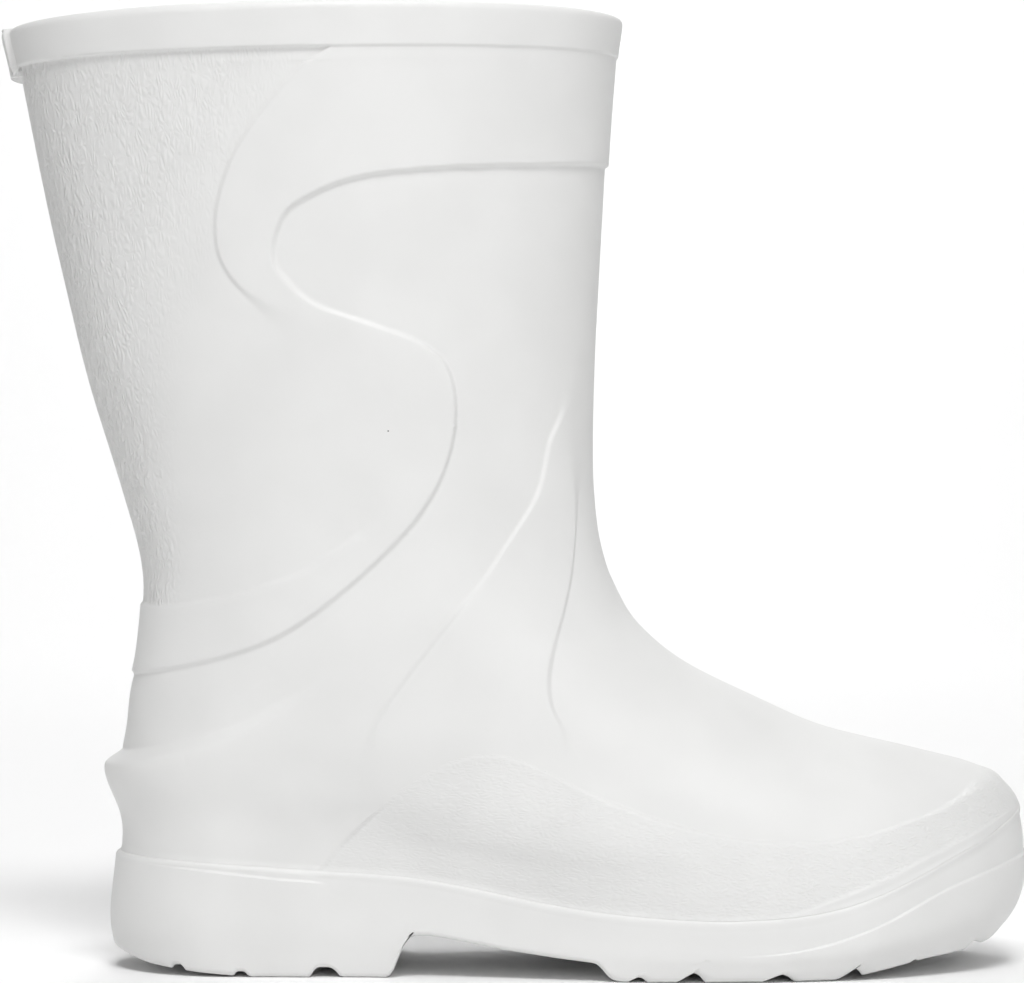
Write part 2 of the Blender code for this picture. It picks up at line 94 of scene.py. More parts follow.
print("height of the collar in mm:", float(height(2)) / MM)

# %% [markdown]
# ## Curves through a few points
# A maker draws the boot's lines with a spline, a thin strip held at a few points. A natural cubic curve
# is the same in numbers. It needs few rows in a table and leaves no corners, as a broken line would.

# %% A curve through a table's rows


def spline(rows, at, column=1):
    """A natural cubic curve through the rows' column, over their first column, held past its ends."""
    knots = np.array([row[0] for row in rows])
    values = np.array([row[column] for row in rows])
    steps, count = np.diff(knots), len(knots)
    matrix, right = np.eye(count), np.zeros(count)
    for i in range(1, count - 1):
        matrix[i, i - 1 : i + 2] = steps[i - 1], 2 * (steps[i - 1] + steps[i]), steps[i]
        right[i] = 6 * ((values[i + 1] - values[i]) / steps[i] - (values[i] - values[i - 1]) / steps[i - 1])
    bend = np.linalg.solve(matrix, right)
    at = np.clip(np.asarray(at, float), knots[0], knots[-1])
    i = np.clip(np.searchsorted(knots, at) - 1, 0, count - 2)
    step, low, high = steps[i], knots[i + 1] - at, at - knots[i]
    return (
        (bend[i] * low**3 + bend[i + 1] * high**3) / (6 * step)
        + (values[i] / step - bend[i] * step / 6) * low
        + (values[i + 1] / step - bend[i + 1] * step / 6) * high
    )


def soft_step(value, low, high):
    """0 below low, 1 above high, and a soft S between them."""
    t = np.clip((value - low) / (high - low), 0, 1)
    return t * t * (3 - 2 * t)


def soft_edge(value, width):
    """A soft step of that width, centred on 0."""
    return soft_step(value, -width / 2, width / 2)


def soft_max(a, b, width):
    """The larger of two heights, with a fillet of about that width where they cross."""
    t = np.clip(0.5 + 0.5 * (a - b) / width, 0, 1)
    return b + (a - b) * t + width * t * (1 - t) / 2


# %% [markdown]
# ## The last
# The boot's outer wall is one function of two numbers. `rise` picks a ring, from the sole up to the
# collar, and `turn` the place round it: 0 is the back, half a turn the front. The tables hold the back
# line and the front line as the photo shows them, and how full each ring is, because a boot can't be
# measured from behind in a side view.

# %% The last's tables
BACK_LINE = (
    (0.24, 0.0085), (0.315, 0.011), (0.423, 0.0107), (0.552, 0.0115), (0.602, 0.0154), (0.653, 0.0177),
    (0.704, 0.0207), (0.754, 0.0262), (0.854, 0.0325), (0.931, 0.0352), (1.005, 0.0337), (1.115, 0.0173),
    (1.188, 0.004), (1.334, -0.0233), (1.481, -0.0453), (1.624, -0.0653), (1.773, -0.084),
    (1.978, -0.108),
)
FRONT_LINE = (
    (0.24, 1.002, 0.285), (0.285, 1.003, 0.385), (0.304, 0.9955, 0.431), (0.323, 0.982, 0.466),
    (0.342, 0.964, 0.495), (0.362, 0.918, 0.524), (0.388, 0.861, 0.556), (0.415, 0.794, 0.593),
    (0.454, 0.728, 0.653), (0.492, 0.668, 0.718), (0.546, 0.62, 0.779), (0.615, 0.583, 0.85),
    (0.708, 0.56, 0.923), (0.831, 0.5417, 1.014), (0.962, 0.5323, 1.088), (1.083, 0.5283, 1.177),
    (1.193, 0.5283, 1.265), (1.387, 0.531, 1.414), (1.608, 0.538, 1.63), (1.732, 0.542, 1.751),
    (1.978, 0.5535, 2.0),
)
# rise, half widths at heel, waist, ball and tip, two rounding lengths, share of the sole line's dip left
FULLNESS = (
    (0.24, 0.675, 0.705, 0.975, 0.88, 0.127, 0.193, 1.0),
    (0.285, 0.679, 0.717, 0.981, 0.887, 0.127, 0.193, 1.0),
    (0.323, 0.679, 0.736, 0.985, 0.868, 0.127, 0.187, 0.9),
    (0.362, 0.675, 0.755, 0.97, 0.849, 0.127, 0.183, 0.72),
    (0.415, 0.67, 0.774, 0.89, 0.849, 0.127, 0.197, 0.45),
    (0.492, 0.67, 0.774, 0.825, 0.802, 0.13, 0.2, 0.15),
    (0.546, 0.672, 0.774, 0.802, 0.774, 0.134, 0.195, 0.03),
    (0.615, 0.68, 0.774, 0.792, 0.755, 0.14, 0.193, 0.0),
    (0.831, 0.717, 0.774, 0.774, 0.736, 0.167, 0.203, 0.0),
    (1.0, 0.774, 0.792, 0.792, 0.774, 0.203, 0.22, 0.0),
    (1.4, 0.895, 0.905, 0.905, 0.895, 0.257, 0.263, 0.0),
    (1.978, 1.08, 1.085, 1.085, 1.08, 0.327, 0.327, 0.0),
)
STATIONS = (0.13, 0.40, 0.68, 0.90)
SOLE_LINE = (
    (0.0, 0.285), (0.1, 0.274), (0.237, 0.252), (0.33, 0.236), (0.42, 0.199), (0.5, 0.165),
    (0.573, 0.146), (0.64, 0.137), (0.714, 0.14), (0.78, 0.16), (0.84, 0.205), (0.9, 0.268),
    (0.957, 0.33), (1.0, 0.385),
)
SWING = ((0.00, 0.000), (0.20, -0.004), (0.42, -0.022), (0.63, 0.000), (0.80, 0.042), (1.00, 0.085))
TOP = FRONT_LINE[-1][0]

# %% The last's outer wall as a function


def swing(reach):
    """Where the foot's middle line is, sideways."""
    return spline(SWING, reach) * BALL_WIDTH


def half_width(rise, share):
    """Half the width of a ring, before its ends are rounded."""
    found = 0
    for station in range(len(STATIONS)):
        only_this = [(at, float(at == STATIONS[station])) for at in STATIONS]
        found = found + spline(FULLNESS, rise, station + 1) * spline(only_this, share)
    return found * BALL_WIDTH / 2


def rounded(distance, length):
    """A quarter ellipse: from 0 at the end of a ring to 1 at the given length from it."""
    return np.sqrt(1 - (1 - np.clip(distance / length, 0, 1)) ** 2)


def share_of(turn):
    """Share of the way from heel to toe at a turn."""
    return (1 - np.cos(turn)) / 2


def sole_line(share):
    """Height of the line between upper and sole."""
    return height(spline(SOLE_LINE, share))


def skin(rise, turn):
    """A point of the outer wall, before its panels. X is counted from the heel's back."""
    rise, turn = np.broadcast_arrays(np.asarray(rise, float), np.asarray(turn, float))
    share = share_of(turn)
    back, front = spline(BACK_LINE, rise) * LENGTH, spline(FRONT_LINE, rise) * LENGTH
    x = back + (front - back) * share
    side = half_width(rise, share) * rounded(x - back, spline(FULLNESS, rise, 5) * LENGTH)
    side = side * rounded(front - x, spline(FULLNESS, rise, 6) * LENGTH) * -np.sign(np.sin(turn))
    first, last = height(rise), height(spline(FRONT_LINE, rise, 2))
    chord = sole_line(0) + (sole_line(1) - sole_line(0)) * share
    z = first + (last - first) * share + spline(FULLNESS, rise, 7) * (sole_line(share) - chord)
    foot = np.clip((1.0 - rise) / SWING_FADE, 0, 1)
    return np.stack([x, side + swing(x / LENGTH) * foot, z], axis=-1)


def outward(rise, turn):
    """Unit normals of the outer wall."""
    small = 1e-3
    along = skin(rise, turn + small) - skin(rise, turn - small)
    up = skin(rise + small, turn) - skin(rise - small, turn)
    normal = np.cross(along, up)
    return normal / np.linalg.norm(normal, axis=-1, keepdims=True)


def pushed(rise, turn, out):
    """A point of the outer wall, pushed out along its normal."""
    return skin(rise, turn) + outward(rise, turn) * np.asarray(out)[..., None]


def narrowed(points, share):
    """Points drawn in towards the foot's middle line, to that share of their distance from it."""
    middle = swing(points[:, 0] / LENGTH)
    points = points.copy()
    points[:, 1] = middle + (points[:, 1] - middle) * share
    return points


print("toe tip in mm:", (skin(SOLE_RISE, math.pi) / MM).round(1))

# %% [markdown]
# ## A plain tube that bends into the boot
# A boot's wall is a tube. So each piece starts as Blender's own open cylinder, whose upright edges are
# cut into rows. A vertex then says two things, its turn and its row, and the piece's function says where
# that place is on the boot. Panels and steps only need small faces near their edges, so faces near a line
# are halved before the tube is bent. That keeps the mesh small, where a tube that is fine all over would
# have ten times as many faces.

# %% Tubes of rows


def tube(segments, rows):
    """An open tube of quads, one unit high for each row."""
    bm = bmesh.new()
    bmesh.ops.create_cone(bm, cap_ends=False, segments=segments, radius1=1, radius2=1, depth=rows)
    upright = [e for e in bm.edges if abs(e.verts[0].co.z - e.verts[1].co.z) > rows / 2]
    bmesh.ops.subdivide_edges(bm, edges=upright, cuts=rows - 1, use_grid_fill=True)
    bmesh.ops.translate(bm, vec=(0, 0, rows / 2), verts=bm.verts)
    return bm


def places(bm):
    """The turn and the row of each vertex of a tube."""
    flat = np.array([vertex.co[:] for vertex in bm.verts])
    return np.arctan2(flat[:, 1], flat[:, 0]), flat[:, 2]


def halve_near(bm, distance, reach, rows):
    """Halves the faces that come nearer to a line than reach, but none in the end rows."""
    turn, row = places(bm)
    near = distance(turn, row) < reach
    near &= (row > 0.5) & (row < rows - 0.5)
    bm.verts.index_update()
    edges = {e for v in bm.verts if near[v.index] for f in v.link_faces for e in f.edges}
    kept = [e for e in edges if all(0.5 < v.co.z < rows - 0.5 for v in e.verts)]
    bmesh.ops.subdivide_edges(bm, edges=kept, cuts=1, use_grid_fill=True)


def stations_between(first, last, gap):
    """Rises from first to last whose rings are no further apart than gap, at the back or at the front."""
    fine = np.linspace(first, last, 400)
    path = 0
    for turn in (0.0, math.pi / 2, math.pi):
        steps = np.linalg.norm(np.diff(skin(fine, turn), axis=0), axis=1)
        path = np.maximum(path, steps)
    walked = np.concatenate([[0], np.cumsum(path)])
    count = math.ceil(walked[-1] / gap)
    return list(np.interp(np.linspace(0, walked[-1], count + 1), walked, fine))


def placed(name, data):
    """A new object with that data, in the scene."""
    thing = bpy.data.objects.new(name, data)
    bpy.context.scene.collection.objects.link(thing)
    return thing


def smooth_mesh(bm, name, closer):
    """A smooth mesh whose faces look outwards, with vertices closer than that merged."""
    bmesh.ops.remove_doubles(bm, verts=bm.verts, dist=closer)
    bmesh.ops.recalc_face_normals(bm, faces=bm.faces)
    mesh = bpy.data.meshes.new(name)
    bm.to_mesh(mesh)
    bm.free()
    mesh.shade_smooth()
    return mesh


def finish_piece(bm, name, points, body="root", **values):
    """Bends the tube to its points, closes it, turns its faces outwards, and hangs it on its CAD body.

    Each of the values is a number for every vertex, which the piece's material reads by its name.
    """
    layers = [(bm.verts.layers.float.new(key), found) for key, found in values.items()]
    for number, vertex in enumerate(bm.verts):
        vertex.co = points[number]
        for layer, found in layers:
            vertex[layer] = found[number]
    mesh = smooth_mesh(bm, name, 1e-6)
    piece = placed(name, mesh)
    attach(piece, body)
    triangles = sum(len(face.vertices) - 2 for face in mesh.polygons)
    print(f"{name}: {len(mesh.vertices)} vertices, {triangles} triangles")
    return piece


# %% [markdown]
# ## Lines on the side
# The panels' edges were drawn on the side of the mould, and both sides carry them. So each is a line in
# the side view: reach, height in storeys, and how wide the step is there, in millimetres, or 1 if the row
# doesn't say. Where the photo shows an edge that fades out, its step only gets wider and wider.

# %% The panels' lines
GUARD_LINE = (
    (0.62, 1.735), (0.542, 1.732), (0.492, 1.723), (0.406, 1.713), (0.321, 1.701, 1.1),
    (0.257, 1.68, 1.2), (0.214, 1.646, 1.3), (0.193, 1.602, 1.4), (0.187, 1.556, 1.4),
    (0.198, 1.517, 1.3), (0.213, 1.49, 1.2), (0.267, 1.447, 1.1), (0.32, 1.417, 1.1), (0.36, 1.38, 1.2),
    (0.376, 1.331, 1.3), (0.379, 1.279, 1.3), (0.374, 1.217, 1.3), (0.352, 1.128, 1.4),
    (0.309, 1.039, 1.5), (0.255, 0.942, 1.6), (0.202, 0.855, 1.6), (0.137, 0.792, 1.5),
    (0.082, 0.761, 1.4), (0.024, 0.738, 1.4), (-0.1, 0.73, 1.4),
)
REAR_LINE = (
    (0.3, 1.985, 0.9), (0.239, 1.909, 0.9), (0.209, 1.866, 0.9), (0.177, 1.806, 0.9), (0.155, 1.755, 0.9),
    (0.14, 1.708, 0.9), (0.131, 1.663, 0.9), (0.126, 1.612, 0.9), (0.128, 1.567, 0.9),
    (0.136, 1.532, 1.2), (0.154, 1.495, 2.0), (0.177, 1.464, 5.0), (0.222, 1.4, 16.0), (0.262, 1.3, 30.0),
    (0.285, 1.2, 30.0), (0.29, 1.12, 14.0), (0.284, 1.076, 6.0), (0.272, 1.06, 3.0), (0.261, 1.046, 1.6),
    (0.239, 1.025, 1.1), (0.218, 1.002, 0.9), (0.184, 0.971, 0.9), (0.145, 0.943, 0.9),
    (0.108, 0.925, 0.9), (0.071, 0.912, 0.9), (0.04, 0.915, 0.9), (-0.1, 0.93, 0.9),
)
ANKLE_REAR_LINE = (
    (0.5, 1.33, 7.0), (0.492, 1.281, 1.6), (0.479, 1.231, 1.2), (0.47, 1.161, 1.1), (0.455, 1.103),
    (0.435, 1.052), (0.41, 0.984), (0.386, 0.913), (0.358, 0.832), (0.331, 0.752), (0.309, 0.681, 1.3),
    (0.296, 0.632, 2.2), (0.289, 0.585, 5.0), (0.288, 0.536, 12.0), (0.29, 0.4, 12.0),
)
ANKLE_FRONT_LINE = (
    (0.5, 1.33, 14.0), (0.506, 1.22, 8.0), (0.508, 1.126, 2.0), (0.506, 1.047), (0.501, 0.969, 0.8),
    (0.49, 0.864, 0.8), (0.481, 0.783, 0.8), (0.478, 0.729, 0.8), (0.481, 0.673), (0.49, 0.629, 1.6),
    (0.497, 0.585, 4.0), (0.512, 0.5, 14.0), (0.54, 0.4, 14.0),
)
MUDGUARD_LINE = (
    (0.2, 0.17, 1.2), (0.23, 0.252, 1.2), (0.267, 0.348, 1.2), (0.32, 0.459, 1.2), (0.363, 0.522, 1.2),
    (0.417, 0.552, 1.2), (0.459, 0.53, 1.2), (0.513, 0.468, 1.1), (0.577, 0.408), (0.641, 0.364),
    (0.726, 0.338), (0.8, 0.348), (0.878, 0.392, 1.1), (0.924, 0.435, 2.5), (0.96, 0.485, 7.0),
    (1.08, 0.56, 16.0),
)
TOE_BEAD_LINE = (
    (0.7, 0.142), (0.728, 0.157), (0.765, 0.184), (0.804, 0.217), (0.844, 0.253), (0.888, 0.299),
    (0.924, 0.333), (0.955, 0.365), (0.982, 0.393), (1.01, 0.42),
)
LINE_POINTS = 421
COARSE = 10

# %% Signed distance from a line


def trace(rows):
    """The line as close points in the side view, in metres, with its unit direction and its step's width."""
    points = [(row[0], float(height(row[1]))) for row in rows]
    steps = np.cumsum([0] + [math.dist(a, b) for a, b in zip(points, points[1:])])
    even = np.linspace(0, steps[-1], LINE_POINTS)
    x, z = (spline([(s, p[k]) for s, p in zip(steps, points)], even) for k in (0, 1))
    line = np.stack([x * LENGTH, z], axis=1)
    ahead = np.gradient(line, axis=0)
    width = np.interp(even, steps, [(*row, 1)[2] for row in rows]) * MM
    return line, ahead / np.linalg.norm(ahead, axis=1, keepdims=True), width


def from_line(traced, points):
    """Distance of points from a line, positive on its left, with the line's width and share there."""
    line, ahead, width = traced
    rough = ((points[:, None] - line[::COARSE]) ** 2).sum(2).argmin(1) * COARSE
    close_by = np.clip(rough[:, None] + np.arange(-COARSE, COARSE + 1), 0, LINE_POINTS - 1)
    best = ((points[:, None] - line[close_by]) ** 2).sum(2).argmin(1)
    nearest = close_by[np.arange(len(points)), best]
    off = points - line[nearest]
    direction = ahead[nearest]
    across = direction[:, 0] * off[:, 1] - direction[:, 1] * off[:, 0]
    past = np.maximum(np.abs((direction * off).sum(1)) - LENGTH / LINE_POINTS, 0)
    return np.sign(across) * np.hypot(across, past), width[nearest], nearest / (LINE_POINTS - 1)


lines = {
    "guard": trace(GUARD_LINE),
    "rear": trace(REAR_LINE),
    "ankle_rear": trace(ANKLE_REAR_LINE),
    "ankle_front": trace(ANKLE_FRONT_LINE),
    "mudguard": trace(MUDGUARD_LINE),
    "toe_bead": trace(TOE_BEAD_LINE),
}

# %% [markdown]
# ## The relief of the outer wall
# The mould gives the wall steps of about a millimetre. Each could be a separate shell laid over the wall,
# but the real boot is one skin, so here each step is an amount by which the wall is pushed out. The soft
# step's width is what makes an edge crisp or faded. Where two forms cross, the higher one wins, with a
# small fillet, as in a mould cut by hand.

# %% Steps of the panels
GUARD_STEP = 1.2 * MM
MUDGUARD_STEP = 1.0 * MM
REAR_RECESS = 0.8 * MM
ANKLE_STEP = 0.85 * MM
TOE_BEAD = 0.42 * MM
BEAD_WIDTH = 0.65 * MM
BEAD_FOOT = 2.6  # how much wider the bead is on its lower side
TOE_TUCK = 1.4 * MM
TUCK_REACHES = (0.93, 0.99)
FILLET = 0.5 * MM
# line, and the side of it on which its panel is: 1 is the left
PANELS = (("guard", -1), ("rear", -1), ("mudguard", -1), ("ankle_rear", 1), ("ankle_front", -1))


def raised_side(points, name, inside):
    """A panel's soft step, 1 on its inside, and the distance from its edge."""
    distance, width, _ = from_line(lines[name], points)
    return soft_edge(inside * distance, width), distance


# %% [markdown]
# The heel flares out into a spur, on which the other boot's toe pushes when the boot is taken off. Its
# lip is full at the back and dies away towards the ankle. A profile, swept along the lip, is the way a
# mould maker would cut it.

# %% The heel's flare
SPUR_LINE = (
    (-0.1, 0.498), (0.0, 0.5), (0.03, 0.51), (0.083, 0.538), (0.14, 0.58), (0.196, 0.646), (0.247, 0.727),
)
SPUR_PROFILE = (
    (-0.215, -0.3), (-0.19, 0.02), (-0.155, 0.16), (-0.11, 0.33), (-0.058, 0.72), (-0.02, 0.96),
    (0.0, 1.0), (0.01, 0.93), (0.024, 0.6), (0.038, 0.25), (0.054, -0.02), (0.085, -0.15),
)
SPUR_REACH = 6.8 * MM
SPUR_LENGTH = 92 * MM
SPUR_SINK = 1.0 * MM
LIP_RISES = (0.40, 0.66)
LIP_MIDDLE = 2 * MM
LIP_HALF = 3.5 * MM
lip_turns = np.linspace(0, math.pi, 240)
lip_rises = np.full(len(lip_turns), SPUR_LINE[1][1])
for _ in range(14):
    found = skin(lip_rises, lip_turns)
    miss = height(spline(SPUR_LINE, found[:, 0] / LENGTH)) - found[:, 2]
    lip_rises = np.clip(lip_rises + miss / ANKLE_HEIGHT, *LIP_RISES)


def flare(rise, turn, x):
    """How far the flare stands out of the wall, below zero where it has died away."""
    above = rise - np.interp(np.abs(turn), lip_turns, lip_rises)
    first, last = SPUR_PROFILE[0][0], SPUR_PROFILE[-1][0]
    ahead = np.clip(x / SPUR_LENGTH, 0, 1)
    out = SPUR_REACH * (1 - ahead) ** 1.4 * spline(SPUR_PROFILE, above) - SPUR_SINK * (1 - 0.7 * ahead)
    return np.where((above > first) & (above < last), out, -SPUR_SINK), above * ANKLE_HEIGHT


def relief(rise, turn):
    """How far the panels push the wall out, and how far the nearest of their edges is."""
    base = skin(rise, turn)
    side = base[:, [0, 2]]
    steps, offs = zip(*(raised_side(side, *panel) for panel in PANELS))
    guard, rear, mud, ankle_rear, ankle_front = steps
    bead_off, _, bead_share = from_line(lines["toe_bead"], side)
    width = np.where(bead_off < 0, BEAD_FOOT, 1.0) * BEAD_WIDTH
    ends = soft_step(bead_share, 0.0, 0.2) * soft_step(-bead_share, -1.0, -0.8)
    bead = np.exp(-((bead_off / width) ** 2)) * ends
    spur, lip_off = flare(rise, turn, base[:, 0])
    push = GUARD_STEP * guard - REAR_RECESS * rear * guard
    push = push + ANKLE_STEP * ankle_rear * ankle_front
    push = np.maximum(push, MUDGUARD_STEP * mud)
    push = soft_max(push, spur, FILLET)
    push = push + TOE_BEAD * bead - TOE_TUCK * soft_step(base[:, 0] / LENGTH, *TUCK_REACHES)
    edges = np.abs(np.stack([*offs, bead_off]))
    by_lip = np.maximum(np.abs(lip_off - LIP_MIDDLE) - LIP_HALF, 0)
    lip = np.where((spur > -SPUR_SINK) & (base[:, 0] < SPUR_LENGTH), by_lip, 1.0)
    return push, np.minimum(edges.min(0), lip), rear * guard, mud


# %% [markdown]
# ## The upper
# The upper is one hollow shell with a wall of 4.5 mm, thick as foam boots are. Its rows run up the
# outside, out over the collar band, round the lip, and down the inside to the sole. The band could be a
# ring of its own, but it is moulded on, so it is only a few rows that step out. Its lip is rounder on the
# sides than at the front and back.

# %% The upper's rows
BAND_HEIGHT = 12 * MM
BAND_LOW = 1.75 * MM
BAND_HIGH = 2.2 * MM
BAND_SPREAD = 1.0 * MM
RIM_ARCH = 1.4 * MM
LIP_BACK = 1.7 * MM
LIP_SIDE = 3.1 * MM
LIP_INSIDE = 1.8 * MM
SOLE_SEAM = 0.02 * MM
HEM_RISE = SOLE_RISE + 0.9 * MM / ANKLE_HEIGHT
HEM_FLARE = 0.35 * MM
HEM_FADE = 1.7 * MM
HEM_ROWS = (0, 0.04, 0.3, 0.65, 1.05, 1.5)  # mm above the hem
BAND_EDGE = 0.5 * MM
TAB_ROWS = (8.8, 7.1, 6.1, 4.0, 2.0)  # below the band, in band edges: the tab ends between two of them
BAND_ROWS = ((-1.2, 0.10), (-0.6, 0.45), (0.0, 0.85), (0.6, 0.98), (1.4, 1.0))
RING_GAP = 2.9 * MM
INNER_GAP = 7 * MM
TURNS = 208
EDGE_REACHES = (1.9 * MM, 1.0 * MM)


def upper_rows():
    """Rows: rise, push, shares of the lip's radius in rise and push, outside share, share of the spread."""
    band = TOP - BAND_HEIGHT / SHAFT_HEIGHT
    edge = BAND_EDGE / SHAFT_HEIGHT
    bottom = HEM_RISE + SOLE_SEAM / ANKLE_HEIGHT
    rises = [bottom + up * MM / ANKLE_HEIGHT for up in HEM_ROWS]
    rises += stations_between(bottom + 2.3 * MM / ANKLE_HEIGHT, band - 12 * edge, RING_GAP)
    rows = [(rise, 0, 0, 0, 1, 0) for rise in rises]
    rows += [(band - n * edge, 0, 0, 0, 1, 1) for n in TAB_ROWS]
    for up, out in BAND_ROWS:
        rows.append((band + up * edge, out * BAND_LOW, 0, 0, 1 - out, 1))
    under_lip = TOP - LIP_SIDE / SHAFT_HEIGHT
    for share in np.linspace(0.25, 1, 5):
        rise = band + 1.4 * edge + (under_lip - band - 1.4 * edge) * share
        rows.append((rise, BAND_LOW + (BAND_HIGH - BAND_LOW) * share, 0, 0, 0, 1 - 2 * share))
    for angle in np.linspace(0, math.pi / 2, 8):
        rows.append((TOP, BAND_HIGH, math.sin(angle) - 1, math.cos(angle) - 1, 0, -1))
    for angle in np.linspace(math.pi / 2, 0, 6):
        rise = TOP + LIP_INSIDE * (math.sin(angle) - 1) / SHAFT_HEIGHT
        rows.append((rise, LIP_INSIDE * (1 - math.cos(angle)) - WALL, 0, 0, 0, -1))
    inner = stations_between(bottom, TOP - 2.5 * LIP_INSIDE / SHAFT_HEIGHT, INNER_GAP)
    return np.array(rows + [(rise, -WALL, 0, 0, 0, 0) for rise in reversed(inner)])


UPPER_ROWS = upper_rows()
LAST_ROW = len(UPPER_ROWS) - 1
print("rows of the upper:", LAST_ROW + 1)

# %% [markdown]
# The collar's plain square tab and the few dents are small, so they are pushes of the same wall. The
# grain's masks go by the distance from the boot's lines.

# %% The collar's tab and the few marks of wear
TAB_WIDTH = 20 * MM
TAB_HEIGHT = 15.3 * MM
TAB_STEP = 2.2 * MM
TAB_EDGE = 0.5 * MM
# reach, height, half length, half height, depth: dents are below zero
MARKS = (
    (0.403, 1.567, 4.5, 1.3, -0.25), (0.239, 1.284, 2.2, 2.0, 0.18), (0.825, 0.492, 3.2, 1.2, 0.1),
    (0.854, 0.448, 2.0, 1.0, 0.08),
)


def tab(points):
    """How far the plain tab at the back of the collar stands out."""
    low = skin(TOP - TAB_HEIGHT / SHAFT_HEIGHT, np.array([0.0]))[0]
    across = TAB_WIDTH / 2 - np.abs(points[:, 1])
    above = soft_edge(points[:, 2] - low[2], TAB_EDGE)
    return soft_edge(across, TAB_EDGE) * above * (points[:, 0] < low[0] + TAB_WIDTH)


def marks(points):
    """Small dents and bumps on the outer side."""
    push = np.zeros(len(points))
    for reach, storeys, long, high, deep in MARKS:
        along = (points[:, 0] - reach * LENGTH) / (long * MM)
        up = (points[:, 2] - float(height(storeys))) / (high * MM)
        push += deep * MM * np.exp(-(along**2) - up**2) * (points[:, 1] < 0)
    return push


# The shaft's grain: height in storeys, mm from the back line with all of it, and with none of it
REAR_FADE = (
    (0.95, 4, 18), (1.05, 5, 22), (1.31, 10, 36), (1.58, 26, 64), (1.86, 60, 98), (2.0, 70, 110),
)
BACK_DEPTH = 1.2  # how much deeper the grain is on the back line
BACK_REACH = (2, 26)  # mm ahead of the back line, from there to where it isn't deeper
# reach, share of the grain
TOE_FADE = ((0.20, 0.25), (0.45, 0.45), (0.70, 0.60), (0.85, 0.90), (1.00, 1.00))


def rear_fade(base):
    """How much of the shaft's grain there is: it dies away from the back line towards the shin."""
    storeys = 1 + (base[:, 2] - ANKLE_HEIGHT) / SHAFT_HEIGHT
    ahead = (base[:, 0] - spline(BACK_LINE, storeys) * LENGTH) / MM
    deeper = 1 + BACK_DEPTH * (1 - soft_step(ahead, *BACK_REACH))
    return deeper * (1 - soft_step(ahead, spline(REAR_FADE, storeys, 1), spline(REAR_FADE, storeys, 2)))


def toe_fade(base):
    """How much of the mudguard's grain there is: most of it is round the toe."""
    off, _, share = from_line(lines["toe_bead"], base[:, [0, 2]])
    below = soft_step(-off, -1.0 * MM, 0.2 * MM) * (share > 0.02)
    return np.interp(base[:, 0] / LENGTH, *np.array(TOE_FADE).T) * (1 - 0.9 * below)


def upper_row(turn, row):
    """What the table of rows says at a place: rise, push, outside share, share of spread, sideways share."""
    rise, push, lip_rise, lip_push, outside, spread = (
        np.interp(row, np.arange(LAST_ROW + 1), UPPER_ROWS[:, column]) for column in range(6)
    )
    side = np.sin(turn) ** 2
    lip = LIP_BACK + (LIP_SIDE - LIP_BACK) * side
    return rise + lip_rise * lip / SHAFT_HEIGHT, push + lip_push * lip, outside, spread, side


def hem(base, turn):
    """How far the upper's lowest edge flares out, which makes a soft fillet along the sole line."""
    above = base[:, 2] - skin(HEM_RISE, turn)[:, 2]
    toe = soft_step(base[:, 0] / LENGTH, 0.9, 1.0)
    return HEM_FLARE * (1 - 0.7 * toe) * (1 - soft_step(above, -HEM_FADE, HEM_FADE)) * 2


def upper_edges(turn, row):
    """Distance from the nearest edge of a panel or of the tab, in the side view."""
    rise, _, outside, _, _ = upper_row(turn, row)
    edge = np.where(outside > 0.01, relief(rise, turn)[1], 1.0)
    base = skin(rise, turn)
    tab_edge = np.abs(np.abs(base[:, 1]) - TAB_WIDTH / 2) + 10 * (base[:, 0] > -15 * MM)
    by_tab = rise > TOP - 1.3 * TAB_HEIGHT / SHAFT_HEIGHT
    return np.where(by_tab, np.minimum(edge, tab_edge), edge)


def upper_shape(turn, row):
    """The upper's surface, and each vertex's share of the two grains."""
    rise, push, outside, spread, side = upper_row(turn, row)
    panels, _, rear, mud = relief(rise, turn)
    base = skin(rise, turn)
    lift = np.where(spread > 0, -BAND_SPREAD * spread, -RIM_ARCH * spread) * side
    backtab = tab(base) * soft_step(push, -WALL / 2, 0) * soft_step(row, 0, 10)
    push = push + outside * (panels + hem(base, turn) + marks(base))
    tab_out = TAB_STEP + np.maximum(push, BAND_LOW) - push
    points = pushed(rise, turn, push + tab_out * backtab)
    points[:, 2] += lift
    return points, rear * outside * rear_fade(base), soft_step(mud, 0, 0.3) * outside * toe_fade(base)


# %% Make the upper
def origin_at_heel(points):
    """Moves points from the tables' origin, the heel's back, to the CAD frame's."""
    return points - np.array([ORIGIN_REACH * LENGTH, 0, 0])


bm = tube(TURNS, LAST_ROW)
for reach in EDGE_REACHES:
    halve_near(bm, upper_edges, reach, LAST_ROW)
rims = [e for e in bm.edges if e.is_boundary]
bmesh.ops.bridge_loops(bm, edges=rims)
points, rear, mud = upper_shape(*places(bm))
upper = finish_piece(bm, "boot_upper", origin_at_heel(points), rear_grain=rear, toe_grain=mud)
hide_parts("upper")

# %% [markdown]
# ## The outsole
# The sole is a cup: a side wall that flares a little from the upper, a tread underneath and a bed inside,
# on which the insole lies. It is a tube as well, whose rows run from the middle of the tread out to its
# edge, up the wall, over its rim, down inside and over the bed to the middle again. Both ends of the tube
# close on the foot's middle line.

